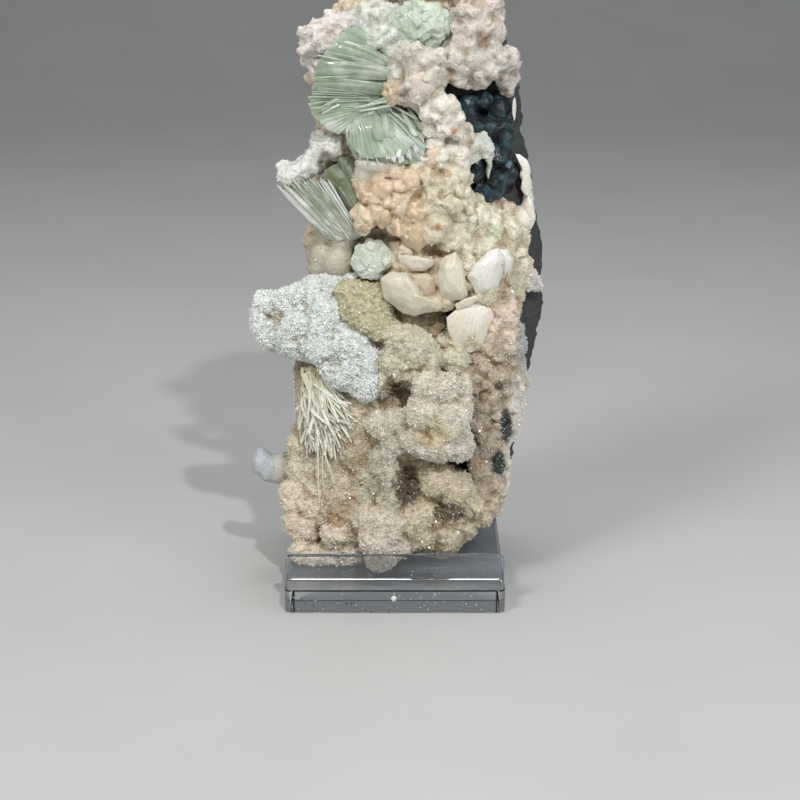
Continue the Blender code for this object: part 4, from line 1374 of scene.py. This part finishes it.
    def mesh(self, name, material, clear_tint, frost_tint, core=None, sharp=35):
        """All of it as one mesh, tinted from clear to frosted, over a rounded core."""
        made = mesh_from(name, self.points, self.faces, material)
        frost = np.array(self.frost)[:, None]
        colours = np.array(to_linear(clear_tint)) * (1 - frost) + np.array(to_linear(frost_tint)) * frost
        set_tint(made.data, colours)
        bm = bmesh.new()
        bm.from_mesh(made.data)
        if core:
            add_core(bm, core)
        bmesh.ops.recalc_face_normals(bm, faces=bm.faces)
        layer = bm.verts.layers.float_color["tint"]
        for vert in bm.verts:
            if vert[layer][3] == 0:
                vert[layer] = (*to_linear(frost_tint), 1.0)
        bm.to_mesh(made.data)
        bm.free()
        smooth_faces(made.data)
        made.data.set_sharp_from_angle(angle=math.radians(sharp))
        return made


def united(name, shapes, material):
    """One closed solid from several convex ones."""
    pieces = []
    for shape in shapes:
        bm = bmesh.new()
        shape(bm)
        bmesh.ops.recalc_face_normals(bm, faces=bm.faces)
        pieces.append(object_from(name, bm, material))
    first = pieces[0]
    first.name = name
    others = bpy.data.collections.new(name + "_others")
    bpy.context.scene.collection.children.link(others)
    for piece in pieces[1:]:
        bpy.context.scene.collection.objects.unlink(piece)
        others.objects.link(piece)
    join = first.modifiers.new("join", "BOOLEAN")
    join.operation = "UNION"
    join.solver = "MANIFOLD"
    join.operand_type = "COLLECTION"
    join.collection = others
    bake(first)
    for piece in pieces[1:]:
        bpy.data.objects.remove(piece, do_unlink=True)
    bpy.data.collections.remove(others)
    return first


def add_core(bm, row):
    across, up, depth, wide, high, deep = row
    ball = bmesh.ops.create_icosphere(bm, subdivisions=3, radius=MM)
    place = (
        Matrix.Translation(seen(across, up, depth))
        @ Matrix.Rotation(-EYE_TILT, 4, "X")
        @ Matrix.Diagonal((wide, deep, high, 1.0))
    )
    bmesh.ops.transform(bm, matrix=place, verts=ball["verts"])


def add_block(bm, across, up, depth, side, roll):
    block = bmesh.ops.create_cube(bm, size=side * MM)
    place = (
        Matrix.Translation(seen(across, up, depth))
        @ Matrix.Rotation(math.radians(roll), 4, "Y")
        @ Matrix.Rotation(math.radians(32), 4, "X")
        @ Matrix.Rotation(math.radians(40), 4, "Z")
    )
    bmesh.ops.transform(bm, matrix=place, verts=block["verts"])


# Materials


class Nodes:
    """Short names for building a material's nodes."""

    def __init__(self, name):
        self.material = bpy.data.materials.new(name)
        self.material.use_nodes = True
        self.tree = self.material.node_tree
        self.shader = self.tree.nodes["Principled BSDF"]

    def add(self, kind, **inputs):
        node = self.tree.nodes.new(kind)
        for key, value in inputs.items():
            if hasattr(node, key):
                setattr(node, key, value)
            else:
                self.put(node, key.replace("_", " "), value)
        return node

    def put(self, node, key, value):
        socket = node.inputs[key]
        if isinstance(value, bpy.types.NodeSocket):
            self.tree.links.new(value, socket)
        else:
            socket.default_value = value

    def place(self):
        return self.add("ShaderNodeTexCoord").outputs["Object"]

    def noise(self, size, detail=2.0, roughness=0.5):
        """A noise whose features are about this many millimetres across."""
        node = self.add("ShaderNodeTexNoise", Vector=self.place(), Detail=detail, Roughness=roughness)
        node.inputs["Scale"].default_value = 1000 / size
        return node.outputs["Fac"]

    def cells(self, size, feature="F1", output="Distance"):
        node = self.add("ShaderNodeTexVoronoi", Vector=self.place())
        node.feature = feature
        node.inputs["Scale"].default_value = 1000 / size
        return node.outputs[output]

    def ramp(self, value, low, high, out_low=0.0, out_high=1.0):
        node = self.add("ShaderNodeMapRange", Value=value)
        node.inputs["From Min"].default_value = low
        node.inputs["From Max"].default_value = high
        node.inputs["To Min"].default_value = out_low
        node.inputs["To Max"].default_value = out_high
        return node.outputs["Result"]

    def mix(self, share, first, second, blend="MIX"):
        node = self.tree.nodes.new("ShaderNodeMix")
        node.data_type = "RGBA"
        node.blend_type = blend
        for index, value in ((0, share), (6, first), (7, second)):
            if isinstance(value, bpy.types.NodeSocket):
                self.tree.links.new(value, node.inputs[index])
            elif isinstance(value, tuple):
                node.inputs[index].default_value = (*value, 1.0)
            else:
                node.inputs[index].default_value = value
        return node.outputs[2]

    def grey(self, value):
        node = self.add("ShaderNodeCombineColor")
        for key in ("Red", "Green", "Blue"):
            self.tree.links.new(value, node.inputs[key])
        return node.outputs["Color"]

    def tint(self):
        node = self.add("ShaderNodeAttribute")
        node.attribute_name = "tint"
        return node.outputs["Color"]

    def sum(self, first, second):
        node = self.add("ShaderNodeMath")
        node.operation = "ADD"
        for index, value in enumerate((first, second)):
            if isinstance(value, bpy.types.NodeSocket):
                self.tree.links.new(value, node.inputs[index])
            else:
                node.inputs[index].default_value = value
        return node.outputs[0]

    def times(self, first, second):
        made = self.sum(first, second)
        made.node.operation = "MULTIPLY"
        return made

    def bump(self, height, distance, strength=1.0):
        node = self.add("ShaderNodeBump", Height=height)
        node.inputs["Strength"].default_value = strength
        node.inputs["Distance"].default_value = distance * MM
        self.put(self.shader, "Normal", node.outputs["Normal"])

    def set(self, **values):
        for key, value in values.items():
            self.put(self.shader, key.replace("_", " "), value)


def mineral(name, roughness, bump_size, bump_depth, scatter=0.0, mottle=0.10):
    """A crust: the lumps' tints, mottled, over fine grain."""
    n = Nodes(name)
    broad = n.ramp(n.noise(7.0, 3.0), 0.3, 0.7, 1 - mottle, 1 + mottle)
    speck = n.ramp(n.noise(0.9, 2.0), 0.3, 0.7, 0.93, 1.06)
    colour = n.mix(1.0, n.tint(), n.grey(n.times(broad, speck)), "MULTIPLY")
    warm = n.ramp(n.noise(11.0, 2.0), 0.45, 0.75, 0.0, 0.25)
    colour = n.mix(warm, colour, n.mix(1.0, colour, (1.0, 0.90, 0.76), "MULTIPLY"))
    n.set(Base_Color=colour)
    n.set(Roughness=n.ramp(n.noise(1.3, 2.0), 0.3, 0.7, roughness - 0.10, roughness + 0.12))
    n.set(Subsurface_Weight=scatter, Subsurface_Scale=0.002)
    n.shader.inputs["Subsurface Radius"].default_value = (1.0, 0.8, 0.6)
    n.bump(n.sum(n.noise(bump_size, 3.0), n.cells(bump_size * 1.6)), bump_depth)
    return n.material


def grain(name, roughness, transmission):
    """Small glittering crystals that take their bed's tint."""
    n = Nodes(name)
    shade = n.ramp(n.noise(2.0, 1.0), 0.3, 0.7, 0.94, 1.06)
    n.set(Base_Color=n.mix(1.0, n.tint(), n.grey(shade), "MULTIPLY"))
    n.set(Roughness=n.ramp(n.noise(0.8), 0.3, 0.7, roughness - 0.04, roughness + 0.10))
    n.set(IOR=1.54, Transmission_Weight=transmission)
    return n.material


def apophyllite(name, root, clear, streak=0.45, streaks=70.0, veil=0.35):
    """Clear crystal in its own tint, with pale streaks that run out from its root, and veils."""
    n = Nodes(name)
    away = n.add("ShaderNodeVectorMath")
    away.operation = "SUBTRACT"
    n.tree.links.new(n.place(), away.inputs[0])
    away.inputs[1].default_value = seen(*root)
    heading = n.add("ShaderNodeVectorMath")
    heading.operation = "NORMALIZE"
    n.tree.links.new(away.outputs[0], heading.inputs[0])
    rays = n.add("ShaderNodeTexNoise", Vector=heading.outputs[0], Detail=3.0, Roughness=0.6)
    rays.inputs["Scale"].default_value = streaks / 4
    fine = n.add("ShaderNodeTexNoise", Vector=heading.outputs[0], Detail=2.0)
    fine.inputs["Scale"].default_value = streaks
    share = n.ramp(rays.outputs["Fac"], 0.48, 0.72, 0.0, streak)
    cloud = n.ramp(n.noise(11.0, 2.0), 0.48, 0.70, 0.0, veil)
    white = n.sum(share, cloud)
    white.node.use_clamp = True
    colour = n.mix(white, n.tint(), (0.93, 0.95, 0.92))
    n.set(Base_Color=colour)
    n.set(Roughness=n.ramp(n.noise(3.0), 0.3, 0.7, 0.02, 0.12))
    n.set(Transmission_Weight=n.ramp(white, 0.0, 1.0, clear, clear * 0.3))
    n.set(IOR=1.54)
    n.bump(n.sum(n.times(fine.outputs["Fac"], 0.5), n.noise(4.5, 2.0)), 0.5, 0.5)
    return n.material


def basalt_material():
    n = Nodes("basalt rock")
    grainy = n.noise(1.0, 4.0, 0.7)
    patch = n.noise(9.0, 3.0)
    colour = n.mix(n.ramp(grainy, 0.35, 0.7), (0.012, 0.013, 0.014), (0.060, 0.062, 0.060))
    colour = n.mix(n.ramp(patch, 0.45, 0.65, 0.0, 0.6), colour, (0.050, 0.043, 0.037))
    colour = n.mix(1.0, n.tint(), colour, "ADD")
    n.set(Base_Color=colour)
    n.set(Roughness=n.ramp(n.noise(2.0), 0.3, 0.7, 0.45, 0.85))
    n.bump(n.sum(n.noise(0.8, 4.0, 0.7), n.cells(2.2)), 0.5)
    return n.material


def acrylic(name):
    n = Nodes(name)
    n.set(Base_Color=(0.93, 0.96, 1.0, 1.0), Transmission_Weight=1.0, IOR=1.49)
    n.set(Roughness=n.ramp(n.noise(3.0, 4.0), 0.55, 0.75, 0.015, 0.07))
    n.bump(n.noise(14.0, 1.0), 0.04, 0.3)
    return n.material


def plain(name, colour, roughness):
    n = Nodes(name)
    shade = n.ramp(n.noise(120.0, 2.0), 0.3, 0.7, 0.97, 1.02)
    n.set(Base_Color=n.mix(1.0, colour, n.grey(shade), "MULTIPLY"), Roughness=roughness)
    return n.material


# The rock


def rock_loft():
    bm = bmesh.new()
    rings = []
    for up, left, right, front, back in ROCK_SECTIONS:
        level = seen(0, up, ROCK_MIDDLE).z
        left_edge = seen(left, up, ROCK_MIDDLE).x
        right_edge = seen(right, up, ROCK_MIDDLE).x
        middle_x = (left_edge + right_edge) / 2
        middle_y = ((front + back) / 2 - STAND_DEPTH / 2) * MM
        half_x = (right_edge - left_edge) / 2
        half_y = (back - front) / 2 * MM
        ring = []
        for step in range(ROCK_RING):
            angle = 2 * math.pi * step / ROCK_RING
            x_share = math.copysign(abs(math.cos(angle)) ** ROCK_SQUARENESS, math.cos(angle))
            y_share = math.copysign(abs(math.sin(angle)) ** ROCK_SQUARENESS, math.sin(angle))
            ring.append(bm.verts.new((middle_x + half_x * x_share, middle_y + half_y * y_share, level)))
        rings.append(ring)
    for lower, upper in zip(rings, rings[1:]):
        for step in range(ROCK_RING):
            after = (step + 1) % ROCK_RING
            bm.faces.new((lower[step], lower[after], upper[after], upper[step]))
    bm.faces.new(rings[0][::-1])
    bm.faces.new(rings[-1])
    return object_from("rock", bm)


def painted(points, colours, patches, seed=4.0):
    """Colours with patches of other tints, some of them painted highlights and painted shade, each an oval as the eye
    sees it, on the front only.
    """
    away = points / MM - np.array(EYE)
    facing = away @ np.array(LOOK)
    across = away @ np.array((1.0, 0.0, 0.0)) / facing * EYE_DISTANCE + EYE_ACROSS
    up = away @ np.array(RISE) / facing * EYE_DISTANCE + EYE_UP
    front = points[:, 1] / MM + STAND_DEPTH / 2 < 66
    wave = np.array([noise.noise(Vector(p) / MM / 2.5 + Vector((seed, 0, 0))) for p in points])
    for x, z, wide, high, tint, share in patches:
        reach = np.hypot((across - x) / wide, (up - z) / high) + wave * 0.35
        weight = (np.clip((1.15 - reach) / 0.3, 0, 1) * front * share)[:, None]
        colours = colours * (1 - weight) + weight * np.array(to_linear(tint))
    return colours


def rock(material, voxel):
    body = rock_loft()
    body.name = "basalt_rock"
    body.data.materials.append(material)
    fuse(body, voxel)
    mesh = body.data
    points = points_of(mesh)
    finish = np.tile((2.0, 0.9, 0.4, 0.25), (len(points), 1))
    points = flattened(roughened(points, normals_of(mesh), finish, 3))
    move_points(mesh, points)
    colours = np.tile(to_linear((36, 38, 37)), (len(points), 1))
    # The teal patch is a painted highlight.
    set_tint(mesh, painted(points, colours, ROCK_TEAL_HIGHLIGHT))
    smooth_faces(mesh)
    return body


def window_glaze(name, material, voxel):
    """Dark glassy lumps in the rock's openings, with flat facets."""
    lumps = Lumps(WINDOW_LUMPS)
    body = lumps.mesh(name, material)
    fuse(body, voxel)
    mesh = body.data
    points = points_of(mesh)
    finish = np.tile((1.6, 0.9, 0.2, 0.0), (len(points), 1))
    move_points(mesh, roughened(points, normals_of(mesh), finish, 8))
    facets = body.modifiers.new("facets", "DECIMATE")
    facets.ratio = 0.06
    bake(body)
    points = points_of(body.data)
    colours = np.tile(to_linear((38, 44, 48)), (len(points), 1))
    # The teal patches are painted highlights on the glassy rims.
    set_tint(body.data, painted(points, colours, WINDOW_TEAL_HIGHLIGHTS))
    return body


# The needle spray


def lath(points, faces, path, width, thickness, rng):
    """A flat lath or thread along a path of places, tapering to its tip."""
    turn = rng.uniform(0, math.pi)
    first = len(points)
    for k, spot in enumerate(path):
        ahead = path[min(k + 1, len(path) - 1)] - path[max(k - 1, 0)]
        side = ahead.cross(LOOK).normalized()
        face = ahead.cross(side).normalized()
        scale = 1.0 - 0.55 * k / (len(path) - 1)
        wide = (side * math.cos(turn) + face * math.sin(turn)) * (width * scale * MM / 2)
        thin = (face * math.cos(turn) - side * math.sin(turn)) * (thickness * scale * MM / 2)
        points.extend((spot + wide, spot + thin, spot - wide, spot - thin))
    for k in range(len(path) - 1):
        low = first + 4 * k
        for step in range(4):
            after = (step + 1) % 4
            faces.append((low + step, low + after, low + 4 + after, low + 4 + step))
    faces.append((first + 3, first + 2, first + 1, first))
    last = first + 4 * (len(path) - 1)
    faces.append((last, last + 1, last + 2, last + 3))


def needles(name, material, count, seed):
    rng = random.Random(seed)
    points, faces = [], []
    root = (-37.0, 109.0, 43.0)
    for _ in range(count):
        tip = Vector(rng.choice(NEEDLE_TIPS))
        other = Vector(rng.choice(NEEDLE_TIPS))
        if (tip - other).length < 14:
            tip = tip.lerp(other, rng.uniform(0, 0.5))
        reach = rng.uniform(0.45, 1.03)
        start = Vector(root) + Vector((rng.uniform(-5, 5), rng.uniform(-20, 3), rng.uniform(-6, 3)))
        end = start.lerp(tip, reach) + Vector((rng.uniform(-3, 3), rng.uniform(-3, 0), rng.uniform(-2, 2)))
        middle = start.lerp(end, 0.55) + Vector((rng.uniform(-1.5, 1.5), rng.uniform(-1, 1), 0))
        path = [seen(*start), seen(*start.lerp(middle, 0.6)), seen(*middle), seen(*end)]
        lath(points, faces, path, rng.uniform(1.2, 3.0), rng.uniform(0.5, 1.0), rng)
    for row in THREAD_PATHS:
        lath(points, faces, [seen(*spot) for spot in row], 0.8, 0.6, rng)
    made = mesh_from(name, points, faces, material)
    lumps = Lumps((("root", (190, 178, 130), "smooth", ((-36.5, 108, 44, 5, 5.5, 5, 0),)),))
    knob = lumps.mesh("knob", material)
    join(made, [knob])
    return made


# Stand


def specks(name, material, count, seed):
    """Dust on the stand: very small flakes on the lip and the slab."""
    rng = random.Random(seed)
    points, faces = [], []
    for _ in range(count):
        x = rng.uniform(-48, 48)
        kind = rng.random()
        if kind < 0.55:
            spot = Vector((x, LIP_SETBACK - STAND_DEPTH / 2 - 0.02, rng.uniform(12, 22.5)))
            u, v = Vector((1, 0, 0)), Vector((0, 0, 1))
        elif kind < 0.60:
            spot = Vector((x, -STAND_DEPTH / 2 + rng.uniform(1.2, LIP_SETBACK - 1), BASE_HEIGHT + 0.02))
            u, v = Vector((1, 0, 0)), Vector((0, 1, 0))
        else:
            spot = Vector((x, -STAND_DEPTH / 2 - 0.02, rng.uniform(1, BASE_HEIGHT - 1)))
            u, v = Vector((1, 0, 0)), Vector((0, 0, 1))
        size = rng.uniform(0.08, 0.30)
        first = len(points)
        sides = 5
        for step in range(sides):
            angle = 2 * math.pi * step / sides
            reach = size * rng.uniform(0.6, 1.2)
            points.append((spot + (u * math.cos(angle) + v * math.sin(angle)) * reach) * MM)
        faces.append(tuple(range(first, first + sides)))
    chip = Vector((-0.5, -STAND_DEPTH / 2, 7.2))
    first = len(points)
    for x, z in ((1.5, 0.2), (0, 1.5), (-1.5, 0.2), (-0.3, -1.7)):
        points.append((chip + Vector((x, -0.02, z))) * MM)
    points.append((chip + Vector((0.2, -0.5, 0.1))) * MM)
    for step in range(4):
        faces.append((first + step, first + (step + 1) % 4, first + 4))
    return mesh_from(name, points, faces, material)


# Light, camera and floor


def area_light(name, place, aim, size, power, colour=(1, 1, 1)):
    data = bpy.data.lights.new(name, "AREA")
    data.shape = "DISK"
    data.size = size
    data.energy = power
    data.color = colour
    light = bpy.data.objects.new(name, data)
    light.location = place
    light.rotation_euler = (Vector(aim) - Vector(place)).to_track_quat("-Z", "Y").to_euler()
    bpy.context.scene.collection.objects.link(light)


def set_camera():
    data = bpy.data.cameras.new("camera")
    data.angle = 2 * math.atan(HALF_PICTURE / EYE_DISTANCE)
    camera = bpy.data.objects.new("camera", data)
    camera.location = EYE * MM
    camera.rotation_euler = (math.pi / 2 - EYE_TILT, 0.0, 0.0)
    bpy.context.scene.collection.objects.link(camera)
    bpy.context.scene.camera = camera


def sweep_floor(material):
    """A floor that curves up into a wall far behind."""
    points, faces = [], []
    profile = [(-6.0, FLOOR), (1.2, FLOOR)]
    for step in range(1, 13):
        angle = math.radians(90 * step / 12)
        profile.append((1.2 + 1.5 * math.sin(angle), FLOOR + 1.5 - 1.5 * math.cos(angle)))
    profile.append((2.7, 7.0))
    for y, z in profile:
        points.extend(((-6.0, y, z), (6.0, y, z)))
    for k in range(len(profile) - 1):
        faces.append((2 * k, 2 * k + 1, 2 * k + 3, 2 * k + 2))
    floor = mesh_from("floor", points, faces, material)
    smooth_faces(floor.data)


def belongs(thing, slot, *nodes):
    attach(thing, "root")
    if nodes:
        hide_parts(*nodes)


def main():
    coarse = 1.0
    strewn = 1.0

    stilbite = mineral("stilbite crust", 0.36, 0.8, 0.25, scatter=0.3)
    druse = mineral("cream druse", 0.32, 0.7, 0.25, scatter=0.3)
    wing_bed = mineral("pale druse", 0.28, 0.7, 0.25, scatter=0.3)
    sparkle = grain("sparkling grains", 0.16, 0.0)
    wing_sparkle = grain("bluish sparkling grains", 0.14, 0.0)

    crust_body = crust(
        "crust_body", CRUST_LUMPS, stilbite, 0.9 * coarse, 5, CRUST_PATCHES,
        crystals=(int(1100 * strewn), (2.6, 6.4), 0.45), keep=0.62,
    )
    belongs(crust_body, "stilbite", "stilbite_crust")
    waxy = mineral("waxy stilbite", 0.24, 1.6, 0.12, scatter=0.55, mottle=0.06)
    teeth = cut_crystals("stilbite_teeth", CUT_CRYSTALS, waxy, 6)
    belongs(teeth, "stilbite")
    belongs(crust("peach_bulbs", KNOB_LUMPS, waxy, 0.6 * coarse, 7, ()), "stilbite")
    sheaves = Blades(26)
    for row in SHEAF_SHELLS:
        sheaves.shell(*row)
    sheaves = sheaves.mesh("stilbite_sheaves", waxy, (232, 224, 210), (240, 236, 227))
    belongs(sheaves, "stilbite")

    druse_body = crust("cream_druse", DRUSE_LUMPS, druse, 0.9 * coarse, 2, DRUSE_TINTS_AND_CAVE_SHADE, keep=0.85)
    belongs(druse_body, "cream_druse", "druse_mass")
    wing_body = crust("wing_body", WING_LUMPS, wing_bed, 0.8 * coarse, 1, WING_PATCHES)
    belongs(wing_body, "pale_druse", "drusy_wing")

    grains = strew(
        "druse_grains", druse_body, int(23500 * strewn), (0.5, 1.25), sparkle, 11, off_finger(druse_body),
    )
    belongs(grains, "cream_druse")
    grains = strew("wing_grains", wing_body, int(14000 * strewn), (0.6, 1.5), wing_sparkle, 12)
    belongs(grains, "pale_druse")
    grains = strew("crust_grains", crust_body, int(9000 * strewn), (0.5, 1.1), sparkle, 13, granular(crust_body))
    belongs(grains, "stilbite")

    basalt = basalt_material()
    belongs(rock(basalt, 1.4 * coarse), "basalt", "basalt_matrix")

    glaze = window_glaze("window_glaze", glaze_material(), 0.8 * coarse)
    belongs(glaze, "basalt")

    pale, frost = (214, 234, 204), (236, 242, 230)
    rosette = Blades(21)
    rosette.cluster(*ROSETTE_CLUSTER)
    top = apophyllite("top rosette crystal", (12, 262, 48), 0.4, streak=0.35)
    rosette = rosette.mesh("top_rosette", top, pale, frost, (12, 266, 47, 12, 10, 9))
    belongs(rosette, "apophyllite", "apophyllite_top_rosette")

    shells = Blades(22)
    for row in FAN_SHELLS:
        shells.shell(*row)
    for plate, count, lift in ((1, 2, 6.4), (2, 2, 5.4), (4, 9, 4.2)):
        shells.rods(*FAN_SHELLS[plate][:2], count, lift, 0.9)
    shells.rods(*FAN_SHELLS[6][:2], 15, 5.2, 1.4)
    for row in FAN_BLADES:
        shells.spray(row, 1, 1.0, 1, bow=0.4, tip=0.4)
    for row in GREAT_FAN[13:]:
        shells.spray(row, 3, 1.3, 1, bow=1.2)
    great = apophyllite("great fan crystal", (-2, 242, 47), 0.55, streak=0.35, streaks=30.0, veil=0.6)
    shells = shells.mesh("great_fan", great, pale, frost, (-14, 238, 48, 12, 13, 6))
    belongs(shells, "apophyllite", "apophyllite_great_fan")
    spikes = Blades(25)
    for row in FAN_SPIKES:
        spikes.spray(row, 2, 1.2, 1, bow=0.4, tip=0.15)
    white = apophyllite("white spike crystal", (0, 218, 36), 0.15, streak=0.6)
    spikes = spikes.mesh("great_fan_spikes", white, (232, 232, 228), (244, 244, 240))
    belongs(spikes, "apophyllite")

    silver_blades = Blades(23)
    for row in LEFT_SHELLS:
        silver_blades.shell(*row, notch=0.12)
    silver_blades.rods(*LEFT_SHELLS[0][:2], 26, 3.2, 1.3)
    silver = apophyllite("silver blade crystal", (-12, 168, 42), 0.3, streak=0.9)
    silver_blades = silver_blades.mesh("left_fan", silver, (182, 190, 164), (234, 236, 226), sharp=20)
    belongs(silver_blades, "apophyllite", "apophyllite_left_fan")
    glass = Blades(24)
    for row in GLASS_SHELLS:
        glass.shell(*row, notch=0.10)
    dusky = apophyllite("dusky crystal", (-14, 176, 46), 0.6, streak=0.2, veil=0.2)
    glass = glass.mesh("left_fan_glass", dusky, (150, 162, 124), (188, 196, 170), (-22, 188, 48, 11, 11, 9))
    belongs(glass, "apophyllite")
    blocks = Blades(27)
    blocks.cluster(*SMALL_CLUSTER_BLOCKS)
    small = apophyllite("small cluster crystal", (-10, 160, 42), 0.25, streak=0.3, veil=0.6)
    blocks = blocks.mesh("small_cluster", small, (224, 234, 210), (236, 240, 228), (-10, 161, 41, 8, 8, 6))
    belongs(blocks, "apophyllite", "apophyllite_small_cluster")
    clear_ones = Blades(28)
    clear_ones.cluster(*CLEAR_CRYSTALS)
    water = apophyllite("clear small crystal", (1, 187, 38), 0.6, streak=0.2)
    clear_ones = clear_ones.mesh("clear_crystals", water, (226, 224, 216), (244, 242, 236))
    belongs(clear_ones, "apophyllite")

    ivory = needle_material()
    belongs(needles("needle_laths", ivory, 600, 31), "needle_ivory", "needle_spray")

    for node in ("stand_base", "stand_lip", "stand_back"):
        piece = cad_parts[node]
        piece.data.materials.clear()
        piece.data.materials.append(acrylic(node.replace("_", " ") + " acrylic"))
    dust = specks("dust", plain("dust", (0.80, 0.80, 0.78), 0.8), 150, 41)
    belongs(dust, "clear_acrylic")

    sweep_floor(plain("pale floor", (0.55, 0.55, 0.54), 0.6))
    area_light("key light", (-0.70, -0.75, 1.05), (0, 0, 0.14), 0.45, 7.6, (1.0, 0.98, 0.95))
    area_light("fill light", (0.9, -0.7, 0.6), (0, 0, 0.14), 0.7, 3.5, (0.94, 0.97, 1.0))
    area_light("top light", (0.05, 0.15, 1.2), (0, 0, 0.14), 0.6, 4.0)
    area_light("small bright light", (0.30, -1.0, 1.1), (0, 0, 0.15), 0.05, 8.0)

    world = bpy.data.worlds.new("room")
    world.use_nodes = True
    world.node_tree.nodes["Background"].inputs["Color"].default_value = (0.9, 0.95, 1.0, 1.0)
    world.node_tree.nodes["Background"].inputs["Strength"].default_value = 0.22
    bpy.context.scene.world = world
    set_camera()
    bpy.context.scene.view_settings.view_transform = "Standard"


def off_finger(body):
    """No grains on the smooth finger at the left."""
    away = np.linalg.norm(points_of(body.data) - np.array(seen(-59, 67, 53)), axis=1) / MM
    return np.clip((away - 11) / 5, 0.01, 1)


def granular(body):
    """How granular each point of the crust is: most on its right flank and its foot."""
    points = points_of(body.data)
    x = points[:, 0] / MM
    z = points[:, 2] / MM
    return 0.15 + np.clip((x - 22) / 12, 0, 1) * np.clip((175 - z) / 20, 0, 1)


def glaze_material():
    n = Nodes("dark glassy glaze")
    patch = n.ramp(n.noise(4.0, 3.0), 0.50, 0.66, 0.0, 0.8)
    # Teal patches: painted highlights on the glassy facets.
    colour = n.mix(patch, (0.006, 0.008, 0.010), (0.035, 0.095, 0.115))
    colour = n.mix(0.5, colour, n.tint(), "ADD")
    n.set(Base_Color=colour)
    n.set(Roughness=n.ramp(n.noise(2.5), 0.3, 0.7, 0.15, 0.40))
    n.set(Specular_IOR_Level=0.4)
    n.bump(n.noise(1.2, 2.0), 0.25)
    return n.material


def needle_material():
    n = Nodes("needle ivory")
    shade = n.ramp(n.noise(5.0, 2.0), 0.3, 0.7)
    colour = n.mix(shade, (0.74, 0.70, 0.56), (0.87, 0.84, 0.74))
    knob = n.add("ShaderNodeVectorMath")
    knob.operation = "DISTANCE"
    n.tree.links.new(n.place(), knob.inputs[0])
    knob.inputs[1].default_value = seen(-37, 108, 41)
    stained = n.ramp(n.sum(knob.outputs["Value"], n.times(n.noise(4.0), 0.004)), 0.005, 0.011, 0.7, 0.0)
    colour = n.mix(stained, colour, (0.55, 0.49, 0.27))
    n.set(Base_Color=colour)
    n.set(Roughness=n.ramp(n.noise(1.5), 0.3, 0.7, 0.25, 0.45))
    n.set(Subsurface_Weight=0.15, Subsurface_Scale=0.002)
    n.bump(n.noise(0.6, 2.0), 0.12)
    return n.material


main()
